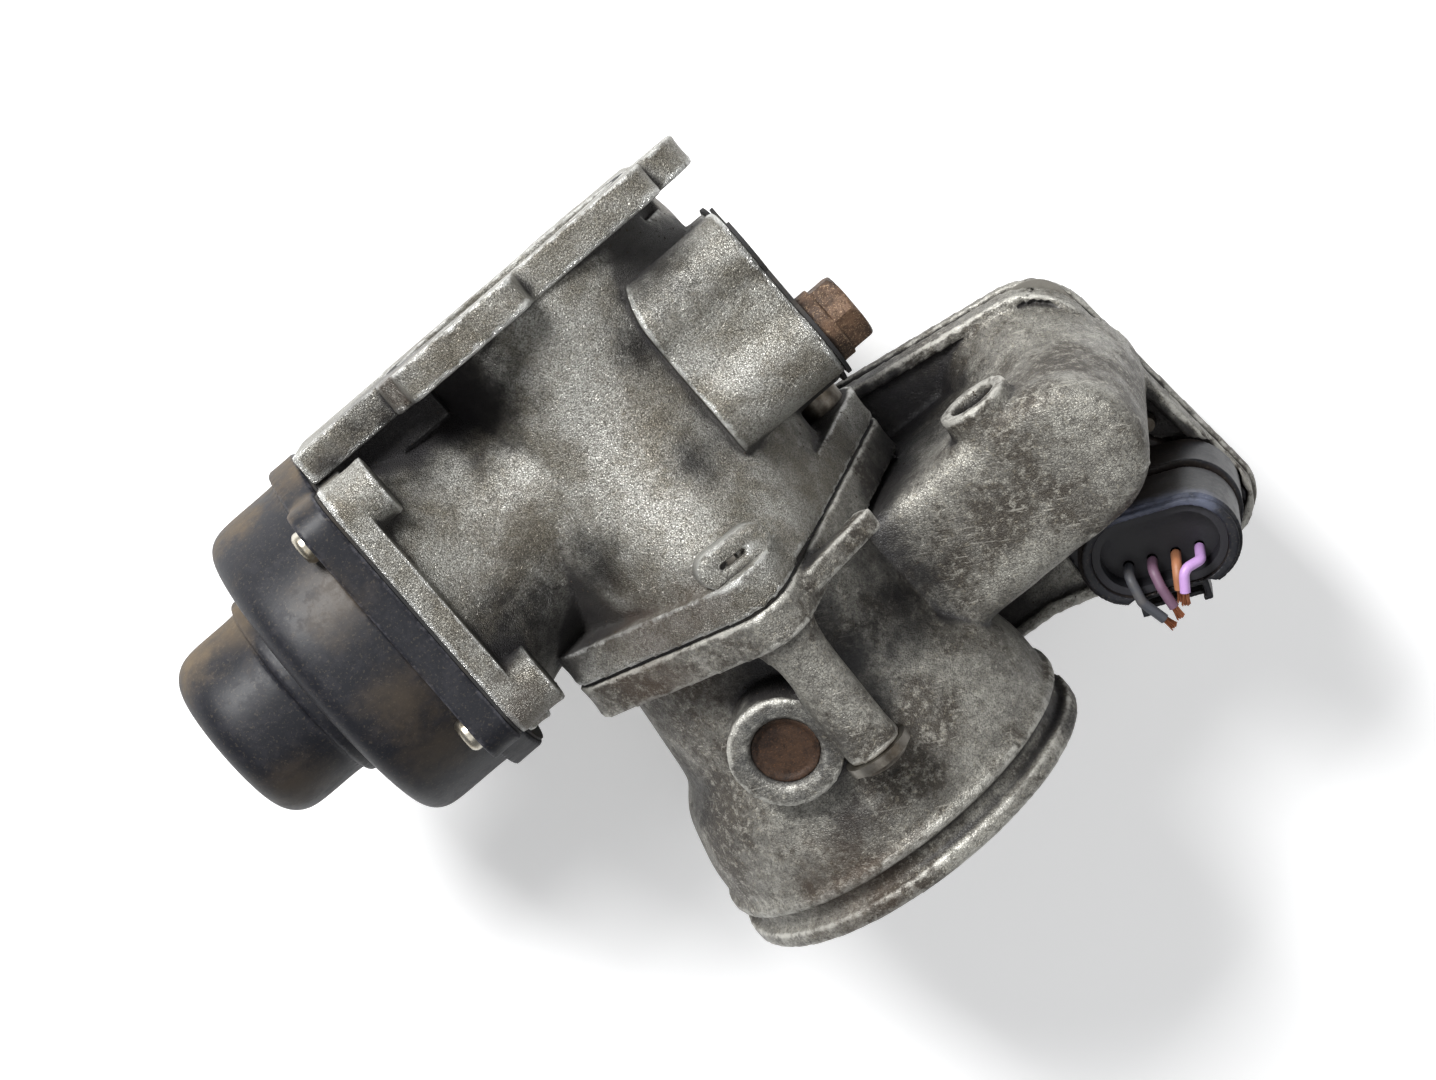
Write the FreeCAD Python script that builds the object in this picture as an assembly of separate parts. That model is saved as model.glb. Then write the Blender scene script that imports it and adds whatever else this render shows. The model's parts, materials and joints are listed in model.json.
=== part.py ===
import FreeCAD, Part
import math
import os

# Diesel intake throttle valve bolted to its exhaust-gas mixing housing, in mm.
# The origin is the centre of the manifold flange's face. +Y points out of that
# face, +X towards the exhaust-gas inlet and +Z towards the throttle shaft's plug.

V = FreeCAD.Vector

# Fits and clearances
press_gap = 0.02
running_gap = 0.04
bolt_gap = 0.1
rest_gap = 0.3

# Mixing duct and manifold flange
duct_r = 24.0
duct_wall = 5.3
duct_straight = 50.0
manifold_t = 6.6
manifold_half = 30.8
manifold_corner_r = 4.0
manifold_bolt_circle_r = 34.5
manifold_bolt_turn = 22.5
manifold_bolt_count = 4
manifold_lug_r = 7.5
manifold_hole_r = 4.3
near_lug_width = 26.5
near_lug_reach = 38.3
near_lug_round = 2.5
bridge_half = 22.0
seal_r_in = 26.4
seal_width = 2.4
seal_depth = 2.0

# Throttle body's seat on the housing, and how the body is turned there
seat_x = -4.6
seat_y = -66.5
body_yaw = -2.2
body_droop = 7.4
body_clock = -17.3
seat_corner_r = 7.2
seat_flange_t = 7.0
seat_gasket_t = 0.6
bolt_corner = (13.8, 39.3)
dowel_corner = (-22.5, 19.0)
far_left_corner = (-18.0, -25.1)
far_right_corner = (28.5, -20.5)
seat_pad_length = 21.0
seat_pad_r = 5.2
seat_pad_t = 5.0
seat_thread_depth = 11.0
m6_r = 3.0
long_head_r = 6.4
long_head_h = 3.2
m6_head_r = 5.0
m6_head_h = 4.5
dowel_r = 2.5
dowel_length = 9.0

# Exhaust-gas valve: its axis runs along X, through the duct
valve_y = -35.5
rim_face_x = -50.7
rim_t = 5.0
rim_r = 35.3
ear_reach = 22.1
ear_height = 31.0
ear_r = 6.2
ear_boss_length = 10.0
chamber_r = 22.0
chamber_floor_x = -36.0
branch_r = 26.0
bush_r = 6.5
stem_r = 3.0
bush_end_x = -22.0

# Exhaust-gas inlet boss
inlet_face_x = 35.3
inlet_root_x = 12.0
inlet_shoulder_r = 19.0
inlet_valley_r = 6.2
inlet_core_r = 20.0
inlet_r = 14.0
inlet_bolt_dy = -8.1
inlet_bolt_z = 28.0
inlet_lobe_r = 8.5
inlet_plain_dy = 12.0
inlet_plain_z = 26.5
inlet_gasket_t = 0.7
inlet_gasket_proud = 0.8
seat_ring_x = 24.5
seat_ring_t = 3.5
seat_ring_bore_r = 9.3
valve_disc_r = 11.5
valve_disc_t = 2.0
m8_r = 4.0
m8_thread_depth = 16.0
flange_bolt_collar_r = 7.2
flange_bolt_collar_t = 2.8
hex_across = 12.6
hex_height = 4.8

# Actuator on the exhaust-gas valve
actuator_gasket_t = 0.5
cover_flange_t = 6.3
dome_r = 33.5
dome_end_x = -75.8
dome_round = 5.0
cover_wall = 2.5
sensor_rise = 1.4
sensor_collar_r = 20.4
sensor_collar_t = 3.2
sensor_cap_r = 18.6
sensor_cap_end_x = -96.5
sensor_cap_round = 6.5
pole_plate_t = 3.8
coil_r_in = 12.8
coil_length = 15.5
armature_r = 12.4
armature_length = 12.5
armature_gap = 7.0
plunger_r = 2.0
plunger_length = 14.0
screw_head_r = 3.3
screw_head_h = 2.0
m4_r = 2.0
spring_wire_r = 0.9
spring_mean_r = 8.0
spring_turns = 3.0
retainer_t = 1.6
retainer_r = 10.5

# Throttle body casting, in the body's own frame
bore_r = 22.5
flange_t = 7.2
neck_top_r = 28.0
neck_low_r = 30.0
lip_w = 60.4
lip_r = 38.0
lip_t = 3.4
lip_to_neck = 29.4
lip_to_flare = 15.4
lip_to_ridge = 6.9
lip_to_mouth = 10.4
lip_to_bore = 22.4
lip_to_arm = 25.9
flare_r = 36.4
flare_rise = 5.5
spigot_r = 37.0
ridge_r = 38.0
ridge_t = 2.4
groove_r = 35.8
mouth_r = 34.0
shaft_w = 26.1
shaft_r = 4.0
boss_r = 10.6
boss_end_s = 40.0
bearing_r = 6.3
bearing_length = 8.0
plug_t = 1.6
plug_depth = 1.5
recess_r = 7.3
arm_r = 5.4
web_half = 3.2
tab_start = (15.5, 40.6)
tab_end = (34.5, 22.4)
tab_t = 4.4
tab_width = 4.6

# Motor housing and gear case, in the same frame
motor_l = 65.5
motor_y = -20.5
motor_case_r = 15.2
motor_case_round = 4.0
motor_root_step = (-5.0, 4.0)
motor_root_r = 18.0
motor_root_s = -20.0
motor_case_end_s = 6.0
motor_r = 13.2
motor_wall = 3.0
motor_plate_t = 1.5
motor_shaft_r = 1.6
motor_face_r = 9.0
motor_ear_angles = (145, 305)
motor_ear_r = 2.9
port_l = 57.0
port_s = -2.0
port_r = 7.2
port_hole_r = 4.6
port_face_y = -2.0
port_floor = 0.6
plate_s = -34.5
plate_t = 4.0
screw_hold = 2.6
case_gasket_t = 0.6
case_rim_t = 2.4
case_depth = 17.0
case_wall = 2.2
case_rim_proud = 0.5
case_end_round = 2.0

# Gear train
module = 1.0
addendum = 0.8
dedendum = 1.15
pressure_angle = 20.0
tooth_play = 0.14
sector_teeth = 54
idler_small_teeth = 17
idler_big_teeth = 49
pinion_teeth = 13
sector_arc = (-94.0, 10.0)
sector_s = -41.6
sector_t = 5.0
big_gear_s = -47.8
big_gear_t = 3.5
idler_pin_r = 2.5
gear_room = 0.8
sector_hole_r = 3.0
hub_r = 7.5
magnet_r = 4.5
magnet_t = 2.5
return_wire_r = 1.0
return_mean_r = 11.5
return_turns = 2.5
return_pocket_s = -30.0
far_boss_r = 16.0

# Connector
plug_l = 67.4
plug_y = -47.9
plug_turn = -17.9
plug_half_length = 15.6
plug_half_width = 9.6
plug_face_s = -5.0
plug_back_s = -20.5
socket_step_s = -22.0
socket_front_s = -13.0
socket_wall = 1.8
socket_base_proud = 0.9
plug_shell = 1.8
insert_half_length = 10.8
insert_half_width = 5.6
recess_depth = 6.0
latch_width = 13.6
latch_height = 4.2
latch_length = 7.0
latch_across = -10.2
wire_r = 1.0
wire_pitch = 4.6
wire_drop = -3.0
pin_half = 0.4


def frame(origin, u, v, w):
    """Placement whose local x, y, z run along u, v, w."""
    return FreeCAD.Placement(origin, FreeCAD.Rotation(u, v, w))


X, Y, Z = V(1, 0, 0), V(0, 1, 0), V(0, 0, 1)
turned = FreeCAD.Rotation(Z, body_yaw)
turned = turned.multiply(FreeCAD.Rotation(X, body_droop))
turned = turned.multiply(FreeCAD.Rotation(Y, body_clock))
seat = V(seat_x, seat_y, 0)
side = turned.multVec(X)
inward = turned.multVec(Y)
shaft_way = turned.multVec(Z)

# Depth below the manifold face, along X from the valve's axis, out of the
# housing along the throttle bore, and along the throttle shaft.
DUCT = frame(V(0, 0, 0), X, Z, -Y)
VALVE = frame(V(0, valve_y, 0), Y, Z, X)
SENSOR = frame(V(0, valve_y + sensor_rise, 0), Y, Z, X)
BORE = frame(seat, side, shaft_way, -inward)
SHAFT = frame(seat, side, inward, shaft_way)


def placed(shape, where):
    shape.Placement = where.multiply(shape.Placement)
    return shape


def disc(where, u, v, r, lo, hi):
    return placed(Part.makeCylinder(r, hi - lo, V(u, v, lo)), where)


def ring(where, u, v, r_out, r_in, lo, hi):
    return disc(where, u, v, r_out, lo, hi).cut(disc(where, u, v, r_in, lo - 1, hi + 1))


def rounded(points, radii):
    """Closed wire through the points, each corner rounded by its radius."""
    count = len(points)
    if not isinstance(radii, (list, tuple)):
        radii = [radii] * count
    corners = []
    for i in range(count):
        here = V(points[i][0], points[i][1], 0)
        back = V(points[i - 1][0], points[i - 1][1], 0) - here
        ahead = V(points[(i + 1) % count][0], points[(i + 1) % count][1], 0) - here
        back.normalize()
        ahead.normalize()
        half = back.getAngle(ahead) / 2
        reach = radii[i] / math.tan(half)
        middle = (back + ahead).normalize()
        centre = here + middle * (radii[i] / math.sin(half))
        corners.append((here + back * reach, centre - middle * radii[i], here + ahead * reach))
    edges = []
    for i in range(count):
        start, mid, end = corners[i]
        edges.append(Part.Arc(start, mid, end).toShape())
        follower = corners[(i + 1) % count][0]
        if (follower - end).Length > 1e-6:
            edges.append(Part.LineSegment(end, follower).toShape())
    return Part.Wire(edges)


def around(points, r):
    """Outline at distance r outside the polygon of centres."""
    vectors = [V(u, v, 0) for u, v in points]
    edges = []
    count = len(vectors)
    turn = sum(
        vectors[i - 1].x * vectors[i].y - vectors[i].x * vectors[i - 1].y for i in range(count)
    )
    if turn < 0:
        vectors.reverse()
    normals = []
    for i in range(count):
        along = (vectors[(i + 1) % count] - vectors[i]).normalize()
        normals.append(V(along.y, -along.x, 0))
    for i in range(count):
        before, after = normals[i - 1], normals[i]
        middle = (before + after)
        if middle.Length < 1e-6:
            middle = V(-after.y, after.x, 0)
        middle.normalize()
        here = vectors[i]
        edges.append(Part.Arc(here + before * r, here + middle * r, here + after * r).toShape())
        start = here + after * r
        end = vectors[(i + 1) % count] + after * r
        edges.append(Part.LineSegment(start, end).toShape())
    return Part.Wire(edges)


def stadium(a, b, r):
    """Outline at distance r around the line from a to b."""
    a, b = V(a[0], a[1], 0), V(b[0], b[1], 0)
    along = (b - a).normalize()
    aside = V(-along.y, along.x, 0) * r
    return Part.Wire([
        Part.LineSegment(a - aside, b - aside).toShape(),
        Part.Arc(b - aside, b + along * r, b + aside).toShape(),
        Part.LineSegment(b + aside, a + aside).toShape(),
        Part.Arc(a + aside, a - along * r, a - aside).toShape(),
    ])


def plate(where, outline, lo, hi):
    solid = Part.Face(outline).extrude(V(0, 0, hi - lo))
    solid.translate(V(0, 0, lo))
    return placed(solid, where)


def section(where, w, r, lobes, share, start=0.0):
    """Closed smooth curve of radius r with a share of each (angle, reach) lobe."""
    steps = 20
    sharpness = 9.0
    points = []
    for k in range(steps):
        angle = math.radians(start + 360.0 * k / steps)
        reach = r
        for lobe_angle, lobe in lobes:
            off = angle - math.radians(lobe_angle)
            reach += share * (lobe - r) * math.exp(sharpness * (math.cos(off) - 1))
        points.append(where.multVec(V(reach * math.cos(angle), reach * math.sin(angle), w)))
    curve = Part.BSplineCurve()
    curve.interpolate(Points=points, PeriodicFlag=True)
    return Part.Wire([curve.toShape()])


def spun(where, profile):
    """Solid of revolution about the frame's w axis; profile lists (r, w)."""
    points = [V(r, 0, w) for r, w in profile]
    face = Part.Face(Part.makePolygon(points + points[:1]))
    return placed(face.revolve(V(0, 0, 0), V(0, 0, 1), 360), where)


def fuse(shapes, merge_faces=True):
    solid = shapes[0].multiFuse(shapes[1:])
    return solid.removeSplitter() if merge_faces else solid


def cut(solid, tools):
    return solid.cut(tools)


def polar(u, v):
    return math.degrees(math.atan2(v, u)), math.hypot(u, v)


def hexagon(where, u, v, across, lo, hi):
    r = across / math.sqrt(3)
    angles = [math.pi * (k + 0.5) / 3 for k in range(6)]
    points = [(u + r * math.cos(a), v + r * math.sin(a)) for a in angles]
    wire = Part.makePolygon([V(a, b, 0) for a, b in points + points[:1]])
    crown = spun(frame(where.multVec(V(u, v, 0)), where.Rotation.multVec(X),
                       where.Rotation.multVec(Y), where.Rotation.multVec(Z)),
                 [(0, lo), (r + 1, lo), (r + 1, hi - 1.6), (r - 1.2, hi), (0, hi)])
    return plate(where, wire, lo, hi).common(crown)


def coil_spring(where, mean_r, wire, lo, hi, turns):
    """Helical spring with its wire's outside between lo and hi."""
    height = hi - lo - 2 * wire
    helix = Part.makeHelix(height / turns, height, mean_r)
    arcs = [Part.makeCircle(wire, V(mean_r, 0, 0), Y, 45 * k, 45 * k + 45) for k in range(8)]
    pipe = Part.Wire(helix.Edges).makePipeShell([Part.Wire(arcs)], True, True)
    pipe.translate(V(0, 0, lo + wire))
    return placed(pipe, where)


# Corners of the throttle seat
seat_corners = [bolt_corner, dowel_corner, far_left_corner, far_right_corner]
bolt_corners = [bolt_corner, far_left_corner, far_right_corner]
seat_top_w = -seat_gasket_t - seat_flange_t
ear_points = [(a * ear_reach, b * ear_height) for a in (1, -1) for b in (1, -1)]
inlet_bolt = (inlet_bolt_dy, inlet_bolt_z)
inlet_free_hole = (-inlet_bolt_dy, -inlet_bolt_z)
inlet_plain = (inlet_plain_dy, inlet_plain_z)
inlet_far_plain = (-inlet_plain_dy, -inlet_plain_z)


def manifold_bolt_points():
    step = 360.0 / manifold_bolt_count
    angles = [math.radians(manifold_bolt_turn + step * k) for k in range(manifold_bolt_count)]
    return [(manifold_bolt_circle_r * math.cos(a), manifold_bolt_circle_r * math.sin(a)) for a in angles]


def rim_plate(lo, hi, grow=0.0):
    """Round rim joined with the straight-sided plate that carries the four screw ears."""
    ears = [ear_points[0], ear_points[2], ear_points[3], ear_points[1]]
    return fuse([disc(VALVE, 0, 0, rim_r + grow, lo, hi), plate(VALVE, around(ears, ear_r + grow), lo, hi)])


def inlet_boss(lo, hi, r_add=0.0):
    """Lobed boss under the inlet face: two bolt lobes each side and the valley between them."""
    parts = [disc(VALVE, 0, 0, inlet_core_r + r_add, lo, hi)]
    for a, b in ((inlet_bolt, inlet_plain), (inlet_free_hole, inlet_far_plain)):
        for lobe in (a, b):
            start = (lobe[0] * 0.3, lobe[1] * 0.3)
            parts.append(plate(VALVE, stadium(start, lobe, inlet_lobe_r + r_add), lo, hi))
        parts.append(plate(VALVE, stadium(a, b, inlet_valley_r + r_add), lo, hi))
    return fuse(parts)


def mixing_housing():
    half = manifold_half
    square = rounded([(-half, half), (half, half), (half, -half), (-half, -half)], manifold_corner_r)
    parts = [plate(DUCT, square, 0, manifold_t)]
    for u, v in manifold_bolt_points():
        parts.append(plate(DUCT, stadium((u / 3, v / 3), (u, v), manifold_lug_r), 0, manifold_t))
    lug_u = manifold_bolt_points()[1][0]
    left, right = lug_u - near_lug_width / 2, lug_u + near_lug_width / 2
    lug_points = [(left, near_lug_reach), (right, near_lug_reach), (right + 2, duct_r), (left - 2, duct_r)]
    parts.append(plate(DUCT, rounded(lug_points, near_lug_round), 0, manifold_t))
    bridge = Part.makeBox(-rim_face_x - duct_r, manifold_t, 2 * bridge_half,
                          V(rim_face_x, -manifold_t, -bridge_half))
    below = Part.makeBox(-rim_face_x - duct_r, 7, 2 * bridge_half - 12,
                         V(rim_face_x, -manifold_t - 6, -bridge_half + 6))
    parts += [bridge, below]

    outer = duct_r + duct_wall
    corner_angle, corner_reach = polar(*bolt_corner)
    lobes = [(corner_angle, corner_reach + seat_corner_r * 0.6)]
    clock = -body_clock
    duct_sections = [
        section(DUCT, manifold_t - 2, outer, lobes, 0.0, clock),
        section(DUCT, 26, outer, lobes, 0.0, clock),
        section(BORE, -24, outer, lobes, 0.12),
        section(BORE, seat_top_w - 1.5, outer, lobes, 0.8),
        section(BORE, -seat_gasket_t - 1, outer, lobes, 1.0),
    ]
    parts.append(Part.makeLoft(duct_sections, True))
    parts.append(plate(BORE, around(seat_corners, seat_corner_r), seat_top_w, -seat_gasket_t))
    edge = V(dowel_corner[0] - bolt_corner[0], dowel_corner[1] - bolt_corner[1], 0).normalize()
    run = seat_pad_length - 2 * seat_pad_r
    pad_a = (bolt_corner[0], bolt_corner[1] - 2)
    pad_b = (pad_a[0] + edge.x * run, pad_a[1] + edge.y * run)
    parts.append(plate(BORE, stadium(pad_a, pad_b, seat_pad_r), seat_top_w - seat_pad_t, seat_top_w + 1))

    parts.append(rim_plate(rim_face_x, rim_face_x + rim_t))
    ear_lobes = [polar(u, v) for u, v in ear_points]
    ear_lobes = [(angle, reach + ear_r * 0.4) for angle, reach in ear_lobes]
    branch = [
        section(VALVE, rim_face_x + rim_t - 1, rim_r - 5, ear_lobes, 0.5),
        section(VALVE, rim_face_x + rim_t + 6, branch_r + 1.0, ear_lobes, 0.25),
        section(VALVE, -30, branch_r, ear_lobes, 0.0),
        section(VALVE, -12, branch_r - 1.5, ear_lobes, 0.0),
    ]
    parts.append(Part.makeLoft(branch, True))
    for u, v in ear_points:
        parts.append(disc(VALVE, u, v, ear_r, rim_face_x, rim_face_x + ear_boss_length))

    shoulder = plate(frame(V(0, 0, 0), X, Y, Z), rounded(
        [(inlet_root_x, -70), (60, -70), (60, -6), (inlet_root_x, -6)],
        [4, 4, 4, inlet_shoulder_r]), -60, 60)
    parts.append(inlet_boss(inlet_root_x, inlet_face_x).common(shoulder))
    parts.append(disc(VALVE, 0, 0, inlet_core_r - 1, 0, inlet_face_x - 1))
    solid = fuse(parts, merge_faces=False)

    seat_side = Part.makeBox(160, 160, 60, V(-80, -80, -seat_gasket_t))
    tools = [
        placed(seat_side, BORE),
        disc(DUCT, 0, 0, duct_r, -1, duct_straight),
        disc(BORE, 0, 0, bore_r + 0.6, -26, 1),
        ring(DUCT, 0, 0, seal_r_in + seal_width, seal_r_in, -1, seal_depth),
        disc(VALVE, 0, 0, chamber_r, rim_face_x - 1, chamber_floor_x),
        disc(VALVE, 0, 0, bush_r + press_gap, chamber_floor_x - 1, 0),
        disc(VALVE, 0, 0, inlet_r, seat_ring_x, inlet_face_x + 1),
        disc(VALVE, 0, 0, seat_ring_bore_r, 0, inlet_face_x),
        disc(VALVE, inlet_bolt[0], inlet_bolt[1], m8_r + bolt_gap,
             inlet_face_x - m8_thread_depth, inlet_face_x + 1),
        disc(VALVE, inlet_free_hole[0], inlet_free_hole[1], m8_r - 0.6,
             inlet_face_x - m8_thread_depth, inlet_face_x + 1),
        disc(BORE, bolt_corner[0], bolt_corner[1], m6_r + bolt_gap, -seat_thread_depth, 1),
        disc(BORE, dowel_corner[0], dowel_corner[1], dowel_r + press_gap, -dowel_length / 2 - 0.4, 1),
    ]
    for u, v in (far_left_corner, far_right_corner):
        tools.append(disc(BORE, u, v, m6_r + bolt_gap, seat_top_w - 1, 1))
        tools.append(disc(BORE, u, v, m6_head_r + 0.8, seat_top_w - 12, seat_top_w))
    for u, v in manifold_bolt_points():
        tools.append(disc(DUCT, u, v, manifold_hole_r, -1, manifold_t + 1))
        tools.append(disc(DUCT, u, v, manifold_hole_r + 2.2, manifold_t, manifold_t + 2.5))
    for u, v in ear_points:
        tools.append(disc(VALVE, u, v, m4_r + bolt_gap, rim_face_x - 1, rim_face_x + ear_boss_length - 2))
    return cut(solid, tools)


def manifold_seal():
    return ring(DUCT, 0, 0, seal_r_in + seal_width - 0.15, seal_r_in + 0.15, 0.1, seal_depth)


def throttle_gasket():
    sheet = plate(BORE, around(seat_corners, seat_corner_r - 0.8), -seat_gasket_t, 0)
    holes = [disc(BORE, 0, 0, bore_r + 1.5, -2, 1)]
    for u, v in seat_corners:
        holes.append(disc(BORE, u, v, m6_r + 0.4, -2, 1))
    return cut(sheet, holes)


def locating_dowel():
    return disc(BORE, dowel_corner[0], dowel_corner[1], dowel_r, -dowel_length / 2, dowel_length / 2)


def throttle_bolts():
    u, v = bolt_corner
    head_w = arm_length
    end_w = head_w + long_head_h
    head = fuse([
        disc(BORE, u, v, long_head_r, head_w, head_w + 1.8),
        disc(BORE, u, v, long_head_r - 1.2, head_w, end_w),
    ])
    head = round_end(head, BORE, end_w, 1.2)
    socket = hexagon(BORE, u, v, 5.0, end_w - 2.4, end_w + 1)
    bolts = [fuse([disc(BORE, u, v, m6_r, 0.5 - seat_thread_depth, head_w), head]).cut(socket)]
    for u, v in (far_left_corner, far_right_corner):
        shank = disc(BORE, u, v, m6_r, seat_top_w, flange_t)
        head = disc(BORE, u, v, m6_head_r, seat_top_w - m6_head_h, seat_top_w)
        socket = hexagon(BORE, u, v, 5.0, seat_top_w - m6_head_h - 1, seat_top_w - m6_head_h + 3)
        bolts.append(fuse([shank, head]).cut(socket))
    return Part.makeCompound(bolts)


def inlet_gasket():
    lo, hi = inlet_face_x, inlet_face_x + inlet_gasket_t
    sheet = inlet_boss(lo, hi, inlet_gasket_proud)
    torn = [
        disc(VALVE, inlet_plain[0] + 9.5, inlet_plain[1] + 3, 6.0, lo - 1, hi + 1),
        disc(VALVE, inlet_bolt[0] + 9.6, inlet_bolt[1] + 12.5, 5.0, lo - 1, hi + 1),
        disc(VALVE, inlet_bolt[0] - 12.0, inlet_bolt[1] - 5.5, 3.2, lo - 1, hi + 1),
    ]
    holes = [disc(VALVE, 0, 0, inlet_r + 0.5, lo - 1, hi + 1)]
    for a in (inlet_bolt, inlet_free_hole):
        holes.append(disc(VALVE, a[0], a[1], m8_r + 0.5, lo - 1, hi + 1))
    return cut(sheet, torn + holes)


def inlet_bolt_piece():
    u, v = inlet_bolt
    base = inlet_face_x + inlet_gasket_t
    collar_end = base + flange_bolt_collar_t
    return fuse([
        disc(VALVE, u, v, m8_r, base - m8_thread_depth + 1, base + 1),
        disc(VALVE, u, v, flange_bolt_collar_r, base, collar_end),
        hexagon(VALVE, u, v, hex_across, collar_end, collar_end + hex_height),
    ])


# Exhaust-gas valve and its actuator
cover_seat_x = rim_face_x - actuator_gasket_t
cover_top_x = cover_seat_x - cover_flange_t
cover_inside_r = dome_r - cover_wall
pole_end_x = rim_face_x - pole_plate_t
coil_end_x = pole_end_x - coil_length
armature_x = pole_end_x - armature_gap
armature_end_x = armature_x - armature_length
collar_end_x = dome_end_x - sensor_collar_t
seat_face_x = seat_ring_x + seat_ring_t
disc_x = seat_face_x + rest_gap
retainer_x = pole_end_x + pole_plate_t + 0.4 + retainer_t


def valve_seat():
    return ring(VALVE, 0, 0, inlet_r - press_gap, seat_ring_bore_r, seat_ring_x, seat_face_x)


def guide_bush():
    return ring(VALVE, 0, 0, bush_r, stem_r + running_gap, chamber_floor_x, bush_end_x)


def exhaust_gas_valve():
    profile = [
        (0, armature_x), (stem_r, armature_x), (stem_r, disc_x - 6), (stem_r + 1.2, disc_x - 2.5),
        (seat_ring_bore_r - 0.4, disc_x - 0.6), (seat_ring_bore_r - 0.4, disc_x), (valve_disc_r, disc_x),
        (valve_disc_r, disc_x + valve_disc_t),
        (0, disc_x + valve_disc_t),
    ]
    return spun(VALVE, profile)


def spring_retainer():
    return ring(VALVE, 0, 0, retainer_r, stem_r + press_gap, retainer_x - retainer_t, retainer_x)


def valve_spring():
    return coil_spring(VALVE, spring_mean_r, spring_wire_r, retainer_x + 0.05,
                       chamber_floor_x - 0.05, spring_turns)


def pole_plate():
    return ring(VALVE, 0, 0, cover_inside_r - 0.4, stem_r + 0.5, pole_end_x, rim_face_x)


def actuator_coil():
    winding = ring(VALVE, 0, 0, cover_inside_r - 4, coil_r_in + 1.2, coil_end_x + 1.5, pole_end_x - 1.5)
    bobbin = ring(VALVE, 0, 0, coil_r_in + 1.2, coil_r_in, coil_end_x, pole_end_x)
    ends = [ring(VALVE, 0, 0, cover_inside_r - 1.5, coil_r_in, lo, lo + 1.5)
            for lo in (coil_end_x, pole_end_x - 1.5)]
    return fuse([winding, bobbin] + ends)


def armature():
    return disc(VALVE, 0, 0, armature_r, armature_end_x, armature_x)


def sensor_plunger():
    return disc(SENSOR, 0, 0, plunger_r, armature_end_x - plunger_length, armature_end_x)


def position_sensor():
    back = sensor_cap_end_x + cover_wall
    return ring(SENSOR, 0, 0, sensor_cap_r - cover_wall - 4.5, plunger_r + 0.5, back, collar_end_x)


def actuator_gasket():
    sheet = rim_plate(cover_seat_x, rim_face_x, -0.4)
    holes = [disc(VALVE, 0, 0, cover_inside_r, cover_seat_x - 1, rim_face_x + 1)]
    holes += [disc(VALVE, u, v, m4_r + 0.3, cover_seat_x - 1, rim_face_x + 1) for u, v in ear_points]
    return cut(sheet, holes)


def round_end(solid, where, w, r):
    """Fillets the circular edge that lies at depth w of the frame."""
    back = where.inverse()
    edges = [e for e in solid.Edges if abs(back.multVec(e.CenterOfMass).z - w) < 0.01]
    return solid.makeFillet(r, edges)


def actuator_cover():
    flange = rim_plate(cover_top_x, cover_seat_x, 0.3)
    dome = disc(VALVE, 0, 0, dome_r, dome_end_x, cover_top_x + 1)
    dome = round_end(dome, VALVE, dome_end_x, dome_round)
    ribs = []
    for u, v in ear_points:
        ribs.append(plate(VALVE, stadium((u * 0.6, v * 0.6), (u * 0.84, v * 0.84), 1.6),
                          cover_top_x - 6.5, cover_top_x + 1))
    hollow = disc(VALVE, 0, 0, cover_inside_r, dome_end_x + cover_wall, cover_seat_x + 1)
    hollow = round_end(hollow, VALVE, dome_end_x + cover_wall, dome_round - cover_wall)
    tools = [hollow, disc(SENSOR, 0, 0, sensor_cap_r - cover_wall - 2, dome_end_x - 1, dome_end_x + 5)]
    tools += [disc(VALVE, u, v, m4_r + bolt_gap, cover_top_x - 9, cover_seat_x + 1) for u, v in ear_points]
    tools += [disc(VALVE, u, v, screw_head_r + 0.7, cover_top_x - 9, cover_top_x) for u, v in ear_points]
    return cut(fuse([flange, dome] + ribs), tools)


def actuator_screws():
    screws = []
    for u, v in ear_points:
        shank = disc(VALVE, u, v, m4_r, cover_top_x, rim_face_x + ear_boss_length - 2.5)
        local = frame(VALVE.multVec(V(u, v, 0)), Y, Z, X)
        head = spun(local, [(0, cover_top_x), (screw_head_r, cover_top_x),
                            (screw_head_r - 0.4, cover_top_x - screw_head_h * 0.7),
                            (screw_head_r - 1.5, cover_top_x - screw_head_h), (0, cover_top_x - screw_head_h)])
        screws.append(fuse([shank, head]))
    return Part.makeCompound(screws)


def sensor_cap():
    inside = sensor_cap_r - cover_wall
    collar = disc(SENSOR, 0, 0, sensor_collar_r, collar_end_x, dome_end_x)
    collar = round_end(collar, SENSOR, collar_end_x, 1.2)
    cup = disc(SENSOR, 0, 0, sensor_cap_r, sensor_cap_end_x, dome_end_x)
    cup = round_end(cup, SENSOR, sensor_cap_end_x, sensor_cap_round)
    hollow = disc(SENSOR, 0, 0, inside, sensor_cap_end_x + cover_wall, collar_end_x)
    hollow = round_end(hollow, SENSOR, sensor_cap_end_x + cover_wall, sensor_cap_round - cover_wall)
    return cut(fuse([collar, cup]), [hollow, disc(SENSOR, 0, 0, inside - 2, collar_end_x - 1, dome_end_x + 1)])


# Throttle body
plate_back_s = plate_s - plate_t
case_face_s = plate_back_s - case_gasket_t
case_rim_s = case_face_s - case_rim_t
screw_end_s = plate_back_s + screw_hold
case_end_s = case_face_s - case_depth
shaft_end_s = sector_s - sector_t - 1.5
body_end_w = lip_w + lip_t
neck_low_w = lip_w - lip_to_neck
flare_w = lip_w - lip_to_flare
ridge_w = lip_w - lip_to_ridge
mouth_w = lip_w - lip_to_mouth
bore_end_w = lip_w - lip_to_bore
arm_length = lip_w - lip_to_arm
port_depth = port_face_y - motor_y - motor_r - port_floor
motor_root = (motor_l + motor_root_step[0], motor_y + motor_root_step[1])


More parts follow.
